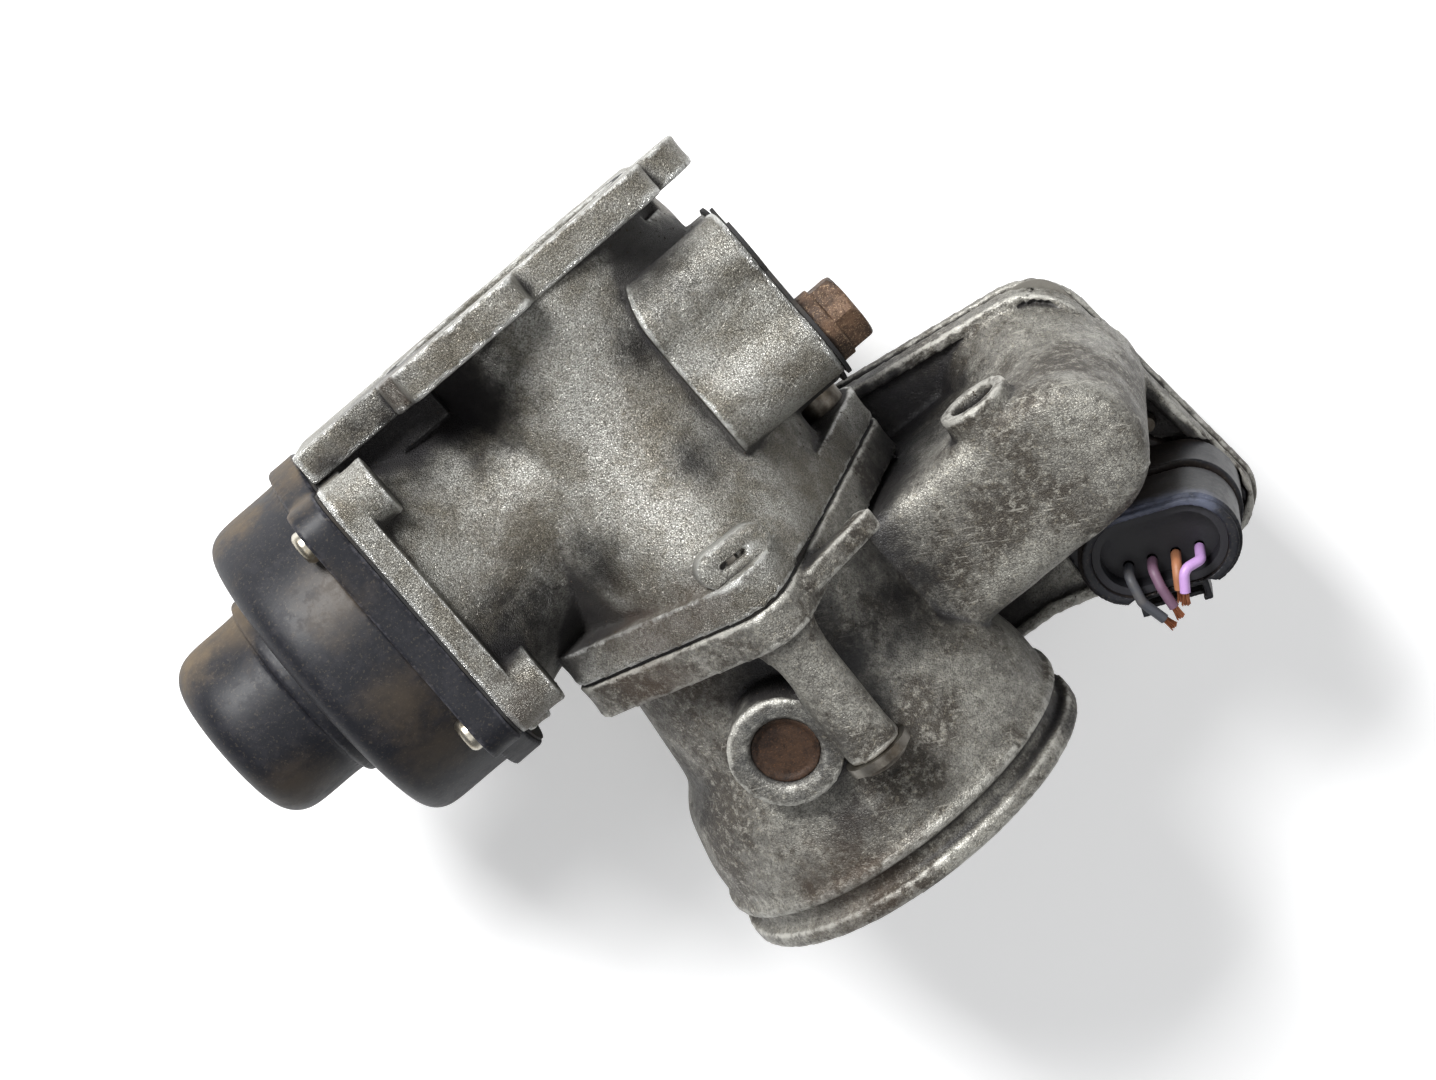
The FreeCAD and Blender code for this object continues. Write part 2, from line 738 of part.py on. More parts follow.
def shrunk(points, by):
    """Polygon moved inwards by the given distance, for a wall of even thickness."""
    count = len(points)
    lines = []
    for i in range(count):
        a = V(points[i][0], points[i][1], 0)
        b = V(points[(i + 1) % count][0], points[(i + 1) % count][1], 0)
        along = (b - a).normalize()
        lines.append((a + V(along.y, -along.x, 0) * by, along))
    result = []
    for i in range(count):
        p, d = lines[i - 1]
        q, e = lines[i]
        cross = d.x * e.y - d.y * e.x
        step = ((q.x - p.x) * e.y - (q.y - p.y) * e.x) / cross
        result.append((p.x + d.x * step, p.y + d.y * step))
    return result


def connector_outline(grow=0.0):
    turn = math.radians(plug_turn)
    half = plug_half_length - plug_half_width
    way = (math.cos(turn), math.sin(turn))
    a = (plug_l - half * way[0], plug_y - half * way[1])
    b = (plug_l + half * way[0], plug_y + half * way[1])
    return stadium(a, b, plug_half_width + grow)


def connector_foot(inset=0.0):
    """Corner of the gear case that the connector's plastic foot fills."""
    steps = [(-21.1, 5.4), (4.8, 12.9), (14.8, -2.1), (15.2, -9.3), (10.2, -13.7), (-21.1, -6.1)]
    corners = [(plug_l + u, plug_y + v) for u, v in steps]
    return rounded(shrunk(corners, inset), 2.0 - inset)


def throttle_body():
    profile = [
        (0, 0.5), (neck_top_r, 0.5), (neck_top_r, flange_t), (neck_low_r, neck_low_w),
        (flare_r - 2, neck_low_w + flare_rise), (flare_r, flare_w), (spigot_r, flare_w + 2),
        (spigot_r, ridge_w), (ridge_r, ridge_w + 0.5), (ridge_r, ridge_w + ridge_t),
        (groove_r, ridge_w + ridge_t + 0.8), (groove_r, lip_w - 0.8), (lip_r, lip_w),
        (lip_r, body_end_w - 0.6), (lip_r - 0.6, body_end_w), (0, body_end_w),
    ]
    neck = spun(BORE, profile)
    flange = plate(BORE, around(seat_corners, seat_corner_r), 0, flange_t)
    boss = disc(SHAFT, 0, -shaft_w, boss_r, 0, boss_end_s)
    far_boss = disc(SHAFT, 0, -shaft_w, far_boss_r, plate_s - 1, -10)
    u, v = bolt_corner
    arm = disc(BORE, u, v, arm_r, 0, arm_length)
    web = plate(BORE, stadium((u * 0.5, v * 0.5), (u, v), web_half), 0, arm_length - 2)
    shoulder = plate(BORE, stadium((u, v), (u - 3, v - 7), arm_r + 0.5), 0, flange_t + 3)
    motor_case = plate(SHAFT, stadium((motor_l, motor_y), (8, -shaft_w + 0.3), motor_case_r), plate_back_s,
                       motor_case_end_s)
    motor_case = motor_case.makeFillet(motor_case_round, [e for e in motor_case.Edges
                                                          if is_end_edge(e, motor_case_end_s)])
    root_wires = []
    for where, s, r in ((motor_root, plate_s - 0.5, motor_root_r), ((motor_l - 0.6, motor_y + 0.6), motor_root_s,
                                                                  motor_case_r - 0.4)):
        circle = Part.makeCircle(r, SHAFT.multVec(V(where[0], where[1], s)), shaft_way)
        root_wires.append(Part.Wire([circle]))
    motor_root_cone = Part.makeLoft(root_wires, True, True)
    port_frame = frame(SHAFT.multVec(V(port_l, 0, port_s)), shaft_way, side, inward)
    port = disc(port_frame, 0, 0, port_r, motor_y + 3, port_face_y)
    run = V(tab_end[0] - tab_start[0], tab_end[1] - tab_start[1], 0)
    across = V(-run.y, run.x, 0).normalize() * tab_width / 2
    tab_wire = rounded([(tab_start[0] + across.x, tab_start[1] + across.y),
                        (tab_end[0] + across.x, tab_end[1] + across.y),
                        (tab_end[0] - across.x, tab_end[1] - across.y),
                        (tab_start[0] - across.x, tab_start[1] - across.y)], 0.6)
    tab = plate(BORE, tab_wire, 1.1, 1.1 + tab_t)
    gear_plate = plate(SHAFT, rounded(case_points, case_rounds), plate_back_s, plate_s)
    rim = plate(SHAFT, rounded(case_points, case_rounds), plate_s - 0.5, plate_s + 1.6)
    rim = rim.cut(plate(SHAFT, rounded(shrunk(case_points, 2.6), 6), plate_s - 1, plate_s + 3))
    solid = fuse([neck, flange, boss, far_boss, arm, web, shoulder, motor_case, motor_root_cone, port, tab,
                  gear_plate, rim], merge_faces=False)
    above_seat = placed(Part.makeBox(200, 200, 40, V(-100, -18, -40)), BORE)
    tools = [
        above_seat,
        spun(BORE, [(0, -1), (bore_r, -1), (bore_r, bore_end_w), (mouth_r - 3, mouth_w - 4),
                    (mouth_r, mouth_w), (mouth_r + 0.5, body_end_w + 1), (0, body_end_w + 1)]),
        disc(SHAFT, 0, -shaft_w, shaft_r + 0.4, plate_back_s - 2, boss_end_s + 1),
        disc(SHAFT, 0, -shaft_w, bearing_r, bore_r + 3, boss_end_s + 1),
        disc(SHAFT, 0, -shaft_w, bearing_r, plate_back_s - 1, -bore_r - 3),
        spun(frame(SHAFT.multVec(V(0, -shaft_w, 0)), side, inward, shaft_way),
             [(0, boss_end_s - 1.0), (bearing_r, boss_end_s - 1.0), (recess_r, boss_end_s - 0.1),
              (recess_r, boss_end_s + 1), (0, boss_end_s + 1)]),
        disc(BORE, u, v, m6_r + bolt_gap, -1, arm_length + 1),
        disc(BORE, u, v, m6_head_r + 1.6, arm_length, arm_length + m6_head_h + 4),
        disc(BORE, dowel_corner[0], dowel_corner[1], dowel_r + press_gap, -1, dowel_length / 2 + 0.4),
        disc(SHAFT, motor_l, motor_y, motor_r + 0.3, plate_back_s - 1, motor_case_end_s - motor_wall),
        disc(port_frame, 0, 0, port_hole_r, port_face_y - port_depth, port_face_y + 1),
        disc(SHAFT, idler_l, idler_y, idler_pin_r + press_gap, plate_back_s - 1, plate_back_s + 8),
        plate(SHAFT, connector_foot(), plate_back_s - 1, plate_s + 3),
        ring(SHAFT, 0, -shaft_w, return_mean_r + return_wire_r + 0.7, return_mean_r - return_wire_r - 0.7,
             plate_back_s - 1, return_pocket_s),
        plate(SHAFT, connector_outline(socket_base_proud + rest_gap), plate_s - 2, plug_face_s + 12),
    ]
    for u, v in (far_left_corner, far_right_corner):
        tools.append(disc(BORE, u, v, m6_r + bolt_gap, -1, flange_t + 0.2))
    for u, v in case_screws[:2] + case_screws[3:]:
        tools.append(sunk_screw(u, v, bolt_gap, 0))
    for u, v in motor_screw_points():
        tools.append(disc(SHAFT, u, v, m4_r * 0.75 + bolt_gap, plate_back_s - 1, plate_back_s + 8))
    return cut(solid, tools)


def is_end_edge(edge, s):
    low = SHAFT.inverse().multVec(edge.CenterOfMass).z
    return abs(low - s) < 0.01


# Gear train. The idler meshes with the sector and with the motor pinion.
sector_pr = module * sector_teeth / 2
small_pr = module * idler_small_teeth / 2
big_pr = module * idler_big_teeth / 2
pinion_pr = module * pinion_teeth / 2
span_l, span_y = motor_l, motor_y + shaft_w
span = math.hypot(span_l, span_y)
first = sector_pr + small_pr
second = big_pr + pinion_pr
along = (first ** 2 - second ** 2 + span ** 2) / (2 * span)
aside = math.sqrt(max(first ** 2 - along ** 2, 0.0))
idler_l = (along * span_l + aside * span_y) / span
idler_y = -shaft_w + (along * span_y - aside * span_l) / span
to_idler = math.degrees(math.atan2(idler_y + shaft_w, idler_l))
to_motor = math.degrees(math.atan2(motor_y - idler_y, motor_l - idler_l))
big_tip_r = big_pr + module * addendum

# Gear case round the gears, the motor's end and the connector's foot
gear_top = idler_y + big_tip_r + gear_room
gear_low = idler_y - big_tip_r - gear_room
case_points = [(-33, 8.5), (motor_l + 10.4, 1.7), (plug_l + 18.2, plug_y - 17.7),
               (idler_l + 2.6, gear_low - case_wall - 0.4), (-33, -60)]
case_rounds = [8, 14, 9, 12, 8]
case_inner = [(-30.2, -12), (-16, 3.2), (13, 2.8), (idler_l - 1.4, gear_top), (motor_l - 13.5, -4.4),
              (motor_l + 6.5, -6.5), (motor_l + 10.3, -14), (plug_l + 13.1, plug_y),
              (plug_l + 2.6, plug_y - 9.5), (idler_l + 2.6, gear_low), (-16, -57), (-30.2, -42)]
case_inner_far = [(-29, -13), (-16, 2.4), (13, 2.2), (idler_l - 1.4, gear_top - 0.2), (motor_l - 15.5, -4.5),
                  (motor_l + 2.5, -10.5), (motor_l + 8.3, -17), (plug_l + 7.6, plug_y + 2),
                  (plug_l + 0.6, plug_y - 7.1), (idler_l + 2.6, gear_low + 0.2), (-15, -55.8), (-29, -42)]
case_inner_round = 4.0
case_screws = [(-27, 1), (motor_l + 4.7, -2.2), (plug_l + 11.6, plug_y - 9.1), (-27, -54)]


def tooth_half_angle(teeth, r):
    """Half the angle that a tooth takes at radius r, from its involute."""
    pitch_r = module * teeth / 2
    base_r = pitch_r * math.cos(math.radians(pressure_angle))
    at_pitch = math.tan(math.radians(pressure_angle)) - math.radians(pressure_angle)
    half = math.pi / (2 * teeth) - tooth_play / (2 * pitch_r)
    if r <= base_r:
        return half + at_pitch
    tilt = math.acos(base_r / r)
    return half + at_pitch - (math.tan(tilt) - tilt)


def gear_wire(teeth, start, count):
    """Closed outline of count teeth from the start angle; a full gear closes on itself."""
    pitch_r = module * teeth / 2
    root_r = pitch_r - module * dedendum
    tip_r = pitch_r + module * addendum
    base_r = pitch_r * math.cos(math.radians(pressure_angle))
    flank = [root_r, max(base_r, root_r + 0.1), pitch_r, tip_r]
    points = []
    for k in range(count):
        middle = math.radians(start) + 2 * math.pi * k / teeth
        for r in flank:
            angle = middle - tooth_half_angle(teeth, r)
            points.append(V(r * math.cos(angle), r * math.sin(angle), 0))
        for r in reversed(flank):
            angle = middle + tooth_half_angle(teeth, r)
            points.append(V(r * math.cos(angle), r * math.sin(angle), 0))
    if count < teeth:
        points.append(V(0, 0, 0))
    return Part.makePolygon(points + points[:1])


def gear(l, y, lo, hi, teeth, start, count):
    blank = Part.Face(gear_wire(teeth, start, count)).extrude(V(0, 0, hi - lo))
    blank.translate(V(l, y, lo))
    return placed(blank, SHAFT)


def sector_gear():
    lo, hi = sector_s - sector_t, sector_s
    step = 360.0 / sector_teeth
    first_tooth = to_idler - step * int(-sector_arc[0] / step)
    count = int((sector_arc[1] - sector_arc[0]) / step)
    teeth = gear(0, -shaft_w, lo, hi, sector_teeth, first_tooth, count)
    hub = disc(SHAFT, 0, -shaft_w, hub_r, lo - 0.5, hi + 1)
    tools = [disc(SHAFT, 0, -shaft_w, shaft_r + press_gap, lo - 2, hi + 2)]
    middle = math.radians((sector_arc[0] + sector_arc[1]) / 2)
    for turn in (-0.48, 0.0, 0.48):
        a = middle + turn
        hole_l, hole_y = sector_pr * 0.63 * math.cos(a), sector_pr * 0.63 * math.sin(a) - shaft_w
        tools.append(disc(SHAFT, hole_l, hole_y, sector_hole_r, lo - 1, hi + 1))
    return cut(fuse([teeth, hub]), tools)


def idler_gear():
    small_start = to_idler + 180 + 180.0 / idler_small_teeth
    small_lo = sector_s - sector_t - 0.3
    small = gear(idler_l, idler_y, big_gear_s - 0.1, sector_s + 0.5, idler_small_teeth, small_start,
                 idler_small_teeth)
    big = gear(idler_l, idler_y, big_gear_s - big_gear_t, big_gear_s, idler_big_teeth, to_motor,
               idler_big_teeth)
    neck = disc(SHAFT, idler_l, idler_y, small_pr - 1.3, big_gear_s - 0.5, small_lo)
    hole = disc(SHAFT, idler_l, idler_y, idler_pin_r + running_gap, case_end_s, plate_s)
    return fuse([small, big, neck]).cut(hole)


def idler_pin():
    return disc(SHAFT, idler_l, idler_y, idler_pin_r, case_end_s + case_wall + 0.2, plate_back_s + 6)


def motor_pinion():
    start = to_motor + 180 + 180.0 / pinion_teeth
    lo = big_gear_s - big_gear_t - 0.5
    teeth = gear(motor_l, motor_y, lo, big_gear_s + 0.5, pinion_teeth, start, pinion_teeth)
    shaft = disc(SHAFT, motor_l, motor_y, motor_shaft_r, lo, plate_back_s + 6)
    return fuse([teeth, shaft])


def motor_screw_points():
    reach = motor_r + 3.2
    angles = [math.radians(a) for a in motor_ear_angles]
    return [(motor_l + reach * math.cos(a), motor_y + reach * math.sin(a)) for a in angles]


def motor():
    front = plate_back_s - motor_plate_t
    can = disc(SHAFT, motor_l, motor_y, motor_r, plate_back_s, motor_case_end_s - motor_wall - 0.2)
    points = motor_screw_points()
    ears = [plate(SHAFT, stadium((motor_l, motor_y), p, motor_ear_r), front, plate_back_s)
            for p in points]
    face = disc(SHAFT, motor_l, motor_y, motor_face_r, front, plate_back_s)
    nose = disc(SHAFT, motor_l, motor_y, 4.5, front - 2, front)
    tools = [disc(SHAFT, motor_l, motor_y, motor_shaft_r + running_gap, front - 3, plate_back_s + 6.3)]
    tools += [disc(SHAFT, u, v, 1.7, front - 1, plate_back_s + 1) for u, v in points]
    return cut(fuse([can, face, nose] + ears), tools)


def motor_screws():
    front = plate_back_s - motor_plate_t
    screws = []
    for u, v in motor_screw_points():
        shank = disc(SHAFT, u, v, m4_r * 0.75, front, plate_back_s + 7)
        head = disc(SHAFT, u, v, 2.7, front - 1.8, front)
        screws.append(fuse([shank, head]))
    return Part.makeCompound(screws)


def return_spring():
    return coil_spring(frame(SHAFT.multVec(V(0, -shaft_w, 0)), side, inward, shaft_way),
                       return_mean_r, return_wire_r, sector_s + 0.05, return_pocket_s - 0.05, return_turns)


# Shaft, plate and what carries them. The plate lies along the bore at rest.
plate_r = bore_r - 0.35
plate_half_t = 1.0


def throttle_shaft():
    rod = disc(SHAFT, 0, -shaft_w, shaft_r, shaft_end_s, boss_end_s - plug_depth - plug_t - 1)
    slot = Part.makeBox(2 * plate_half_t, 2 * shaft_r + 2, 2 * plate_r + 0.1,
                        V(-plate_half_t, -shaft_w - shaft_r - 1, -plate_r - 0.05))
    tools = [placed(slot, SHAFT)]
    cross = frame(SHAFT.multVec(V(0, -shaft_w, 0)), shaft_way, inward, -side)
    for s in (-9.0, 9.0):
        tools.append(disc(cross, s, 0, 1.6, -shaft_r - 1, shaft_r + 1))
        tools.append(disc(cross, s, 0, 3.2, shaft_r - 1.2, shaft_r + 1))
    return cut(rod, tools)


def throttle_plate():
    cross = frame(SHAFT.multVec(V(0, -shaft_w, 0)), shaft_way, inward, -side)
    blade = disc(cross, 0, 0, plate_r, -plate_half_t, plate_half_t)
    return cut(blade, [disc(cross, s, 0, 1.6, -3, 3) for s in (-9.0, 9.0)])


def plate_screws():
    cross = frame(SHAFT.multVec(V(0, -shaft_w, 0)), shaft_way, inward, -side)
    screws = []
    for s in (-9.0, 9.0):
        shank = disc(cross, s, 0, 1.55, -shaft_r + 0.4, shaft_r - 1.2)
        head = disc(cross, s, 0, 3.0, shaft_r - 1.2, shaft_r + 0.9)
        screws.append(fuse([shank, head]))
    return Part.makeCompound(screws)


def shaft_bearings():
    near = ring(SHAFT, 0, -shaft_w, bearing_r - press_gap, shaft_r + running_gap,
                boss_end_s - plug_depth - plug_t - 0.2 - bearing_length, boss_end_s - plug_depth - plug_t - 0.2)
    far = ring(SHAFT, 0, -shaft_w, bearing_r - press_gap, shaft_r + running_gap,
               plate_back_s, plate_back_s + bearing_length)
    return Part.makeCompound([near, far])


def shaft_seals():
    near = ring(SHAFT, 0, -shaft_w, bearing_r - press_gap, shaft_r + running_gap, bore_r + 3, bore_r + 5)
    far = ring(SHAFT, 0, -shaft_w, bearing_r - press_gap, shaft_r + running_gap, -bore_r - 5, -bore_r - 3)
    return Part.makeCompound([near, far])


def core_plug():
    top = boss_end_s - plug_depth
    local = frame(SHAFT.multVec(V(0, -shaft_w, 0)), side, inward, shaft_way)
    return spun(local, [(0, top - 0.5), (5.0, top - 0.5), (5.5, top - 0.1), (5.8, top),
                        (bearing_r - press_gap, top), (bearing_r - press_gap, top - plug_t),
                        (0, top - plug_t)])


def sensor_magnet():
    back = shaft_end_s - magnet_t
    return disc(SHAFT, 0, -shaft_w, magnet_r, back, shaft_end_s)


def angle_sensor():
    lo = case_end_s + case_wall
    return disc(SHAFT, 0, -shaft_w, 7.0, lo, shaft_end_s - magnet_t - 1.0)


def case_gasket():
    band = plate(SHAFT, rounded(shrunk(case_points, 0.5), 7), case_face_s, plate_back_s)
    tools = [plate(SHAFT, rounded(case_inner, case_inner_round), case_face_s - 1, plate_back_s + 1)]
    tools += [disc(SHAFT, u, v, m4_r + 0.3, case_face_s - 1, plate_back_s + 1) for u, v in case_screws]
    return cut(band, tools)


def tapered(outlines, rounds, depths):
    """Solid through rounded outlines that all have as many corners."""
    wires = []
    for outline, r, s in zip(outlines, rounds, depths):
        wire = rounded(outline, r)
        wire.translate(V(0, 0, s))
        wires.append(wire)
    return placed(Part.makeLoft(wires, True, True), SHAFT)


def gear_cover():
    rim = plate(SHAFT, rounded(shrunk(case_points, -case_rim_proud), case_rounds), case_rim_s, case_face_s)
    near, far = shrunk(case_inner, -case_wall), shrunk(case_inner_far, -case_wall)
    r = case_inner_round
    shell = tapered([near, far, shrunk(far, case_end_round)], [r + case_wall, r + case_wall, r],
                    [case_rim_s + 0.5, case_end_s + case_end_round, case_end_s])
    hollow = tapered([case_inner, case_inner_far], [r, r], [case_rim_s + 0.5, case_end_s + case_wall])
    mouth = plate(SHAFT, rounded(case_inner, r), case_rim_s + 0.4, case_face_s + 1)
    tools = [hollow, mouth]
    tools += [sunk_screw(u, v, bolt_gap, 6) for u, v in case_screws]
    return cut(fuse([rim, shell], merge_faces=False), tools)


def sunk_screw(u, v, gap, back):
    """Screw with a head sunk in the cover's rim, or the hole that clears it by a gap."""
    local = frame(SHAFT.multVec(V(u, v, 0)), side, inward, shaft_way)
    return spun(local, [(0, case_rim_s - back), (screw_head_r + gap, case_rim_s - back),
                        (screw_head_r + gap, case_rim_s), (m4_r + gap, case_rim_s + 1.6),
                        (m4_r + gap, screw_end_s + gap), (0, screw_end_s + gap)])


def case_screw_set():
    screws = []
    for u, v in case_screws:
        socket = hexagon(SHAFT, u, v, 2.6, case_rim_s - 1, case_rim_s + 1.3)
        screws.append(sunk_screw(u, v, 0, 0).cut(socket))
    return Part.makeCompound(screws)


# Connector, with what is left of the wiring loom's plug
def connector_socket():
    foot = plate(SHAFT, connector_foot(0.2), plate_back_s, plate_s + 1.2)
    base = plate(SHAFT, connector_outline(socket_base_proud), plate_s + 1, socket_step_s)
    collar = plate(SHAFT, connector_outline(-plug_shell - rest_gap), socket_step_s - 1, socket_front_s)
    hollow = plate(SHAFT, connector_outline(-plug_shell - rest_gap - socket_wall), plug_back_s - 4,
                   socket_front_s + 1)
    corner = case_screws[2]
    tools = [hollow, disc(SHAFT, corner[0], corner[1], m4_r + bolt_gap, plate_back_s - 1, plate_s + 2)]
    tools += [pin_hole(k, plate_back_s - 1, plug_back_s, 0.02) for k in range(4)]
    return cut(fuse([foot, base, collar]), tools)


def along_plug(k, across=0.0):
    turn = math.radians(plug_turn)
    step = (k - 1.5) * wire_pitch
    return (plug_l + step * math.cos(turn) - across * math.sin(turn),
            plug_y + step * math.sin(turn) + across * math.cos(turn))


def pin_hole(k, lo, hi, gap):
    l, y = along_plug(k)
    half = pin_half + gap
    box = Part.makeBox(2 * half, 2 * half, hi - lo, V(l - half, y - half, lo))
    return placed(box, SHAFT)


def connector_pins():
    return Part.makeCompound([pin_hole(k, plate_back_s - 0.5, plug_back_s + 3, 0.0) for k in range(4)])


def plug_frame_point(l, y, s):
    return SHAFT.multVec(V(l, y, s))


def insert_outline(grow=0.0):
    a = along_plug(1.5 - (insert_half_length - insert_half_width) / wire_pitch)
    b = along_plug(1.5 + (insert_half_length - insert_half_width) / wire_pitch)
    return stadium(a, b, insert_half_width + grow)


def harness_plug():
    front = plug_face_s - 1.2
    shell = fuse([
        plate(SHAFT, connector_outline(0.0), plug_back_s, front),
        plate(SHAFT, connector_outline(-0.7), front - 0.5, plug_face_s),
    ])
    turn = math.radians(plug_turn)
    l, y = along_plug(1.5, latch_across)
    notch = plate(SHAFT, stadium((l - 0.5 * latch_width * math.cos(turn), y - 0.5 * latch_width * math.sin(turn)),
                                 (l + 0.5 * latch_width * math.cos(turn), y + 0.5 * latch_width * math.sin(turn)),
                                 latch_height / 2 + 0.1), front - latch_length - 0.3, plug_face_s + 1)
    tools = [notch,
             plate(SHAFT, connector_outline(-plug_shell), plug_back_s - 1, socket_front_s + 0.5),
             plate(SHAFT, insert_outline(2.2), plug_face_s - recess_depth, plug_face_s + 1),
             plate(SHAFT, insert_outline(0.0), plug_back_s - 1, plug_face_s)]
    return cut(shell, tools)


def plug_insert():
    collar = plate(SHAFT, insert_outline(2.1), plug_face_s - recess_depth, plug_face_s - 1.2)
    core = plate(SHAFT, insert_outline(-0.05), plug_back_s + 0.2, plug_face_s - recess_depth + 0.1)
    hollow = plate(SHAFT, insert_outline(0.6), plug_face_s - recess_depth + 0.5, plug_face_s)
    tools = [hollow]
    for k in range(4):
        l, y = along_plug(k, wire_drop)
        tools.append(disc(SHAFT, l, y, wire_r + 0.05, plug_back_s + 5, plug_face_s))
        tools.append(pin_hole(k, plug_back_s - 1, plug_back_s + 4.2, 0.05))
    return cut(fuse([collar, core]), tools)


def plug_latch():
    """Lock tab on the plug's outer side, with its two forked ends."""
    turn = math.radians(plug_turn)
    centre = along_plug(1.5, latch_across)
    local = frame(plug_frame_point(centre[0], centre[1], 0), turned.multVec(V(math.cos(turn), math.sin(turn), 0)),
                  turned.multVec(V(-math.sin(turn), math.cos(turn), 0)), shaft_way)
    half = latch_width / 2
    lo, hi = plug_face_s - 1.2 - latch_length, plug_face_s - 1.2
    block = Part.makeBox(latch_width, latch_height, latch_length, V(-half, -latch_height / 2, lo))
    notch = Part.makeBox(latch_width - 3.4, latch_height, 3.4, V(-half + 1.7, -latch_height / 2 - 1.0, hi - 3.4))
    under = Part.makeBox(latch_width - 2.4, latch_height - 1.8, latch_length + 2,
                         V(-half + 1.2, -latch_height / 2 + 0.9, lo - 1))
    return placed(block.cut([notch, under]), local)


def bent_wire(points, r):
    """Round wire along straight runs joined by tangent arcs."""
    edges = []
    previous = points[0]
    for i in range(1, len(points) - 1):
        corner = points[i]
        back = (points[i - 1] - corner)
        ahead = (points[i + 1] - corner)
        reach = 0.45 * min(back.Length, ahead.Length)
        start = corner + back.normalize() * reach
        end = corner + ahead.normalize() * reach
        half = back.getAngle(ahead) / 2
        radius = reach * math.tan(half)
        middle = (back + ahead).normalize()
        centre = corner + middle * math.hypot(reach, radius)
        edges.append(Part.LineSegment(previous, start).toShape())
        edges.append(Part.Arc(start, centre - middle * radius, end).toShape())
        previous = end
    edges.append(Part.LineSegment(previous, points[-1]).toShape())
    path = Part.Wire(edges)
    way = (points[1] - points[0])
    circle = Part.Wire([Part.makeCircle(r, points[0], way)])
    return path.makePipeShell([circle], True, False, 1)


# Each stub's bend points, as steps (along the plug, across it, out of it)
stub_bends = {
    "wire_grey": (0, [(0, 0, -3), (0, 0, 2.0), (1.0, -5.0, 3.4), (4.0, -9.5, 3.2)]),
    "wire_mauve": (1, [(0, 0, -3), (0, 0, 1.8), (0.6, -3.2, 3.2), (1.8, -7.6, 3.4)]),
    "wire_orange": (2, [(0, 0, -3), (0, 0, 1.8), (-0.4, -2.0, 3.0), (-0.8, -4.6, 3.0)]),
    "wire_violet": (3, [(0, 0, -3), (0, 0, 3.2), (-3.4, 0.0, 5.6), (-4.4, -4.4, 5.8)]),
}
strand_length = 2.4


def stub_points(name):
    slot, bends = stub_bends[name]
    turn = math.radians(plug_turn)
    l0, y0 = along_plug(slot, wire_drop)
    points = []
    for a, b, s in bends:
        l = l0 + a * math.cos(turn) - b * math.sin(turn)
        y = y0 + a * math.sin(turn) + b * math.cos(turn)
        points.append(plug_frame_point(l, y, plug_face_s - 1.5 + s))
    return points


def wire_stub(name):
    return bent_wire(stub_points(name), wire_r)


def wire_strands():
    ends = []
    for name in stub_bends:
        points = stub_points(name)
        way = (points[-1] - points[-2]).normalize()
        ends.append(Part.makeCylinder(wire_r * 0.7, strand_length, points[-1], way))
    return Part.makeCompound(ends)


pieces = {
    "mixing_housing": mixing_housing,
    "manifold_seal": manifold_seal,
    "throttle_gasket": throttle_gasket,
    "locating_dowel": locating_dowel,
    "throttle_bolts": throttle_bolts,
    "inlet_gasket": inlet_gasket,
    "inlet_bolt": inlet_bolt_piece,
    "valve_seat": valve_seat,
    "guide_bush": guide_bush,
    "exhaust_gas_valve": exhaust_gas_valve,
    "spring_retainer": spring_retainer,
    "valve_spring": valve_spring,
    "pole_plate": pole_plate,
    "actuator_coil": actuator_coil,
    "armature": armature,
    "sensor_plunger": sensor_plunger,
    "position_sensor": position_sensor,
    "actuator_gasket": actuator_gasket,
    "actuator_cover": actuator_cover,
    "actuator_screws": actuator_screws,
    "sensor_cap": sensor_cap,
    "throttle_body": throttle_body,
    "throttle_shaft": throttle_shaft,
    "throttle_plate": throttle_plate,
    "plate_screws": plate_screws,
    "shaft_bearings": shaft_bearings,
    "shaft_seals": shaft_seals,
    "core_plug": core_plug,
    "sector_gear": sector_gear,
    "return_spring": return_spring,
    "sensor_magnet": sensor_magnet,
    "angle_sensor": angle_sensor,
    "idler_gear": idler_gear,
    "idler_pin": idler_pin,
    "motor_pinion": motor_pinion,
    "motor": motor,
    "motor_screws": motor_screws,
    "case_gasket": case_gasket,
    "gear_cover": gear_cover,
    "case_screws": case_screw_set,
    "connector_socket": connector_socket,
    "connector_pins": connector_pins,
    "harness_plug": harness_plug,
    "plug_insert": plug_insert,
    "plug_latch": plug_latch,
    "wire_strands": wire_strands,
}

os.makedirs("parts", exist_ok=True)
for name, build in pieces.items():
    shape = build()
    print(name, "solids", len(shape.Solids), "volume", round(shape.Volume, 1), "valid", shape.isValid())
    shape.exportStep("parts/" + name + ".step")
for name in stub_bends:
    shape = wire_stub(name)
    print(name, "solids", len(shape.Solids), "volume", round(shape.Volume, 1), "valid", shape.isValid())
    shape.exportStep("parts/" + name + ".step")
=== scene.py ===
# %% [markdown]
# # Throttle valve
# A worn diesel throttle valve: a pale cast mixing duct, a darker cast throttle body with its motor
# and gear case, and a black plastic valve actuator. The solid model arrives as a frame of finished
# shapes. This file gives them soft cast corners, dirt, painted shade in the hollows, wear and
# light.
#
# The first cell loads that frame. Every CAD piece is an ordinary Blender object whose place is in
# its mesh, in metres, so a new piece needs no fitting: it is made where the solid already is.

# %% Load the frame
import json
import math

import bmesh
import bpy
import numpy as np
from mathutils import Matrix, Vector
from mathutils.bvhtree import BVHTree


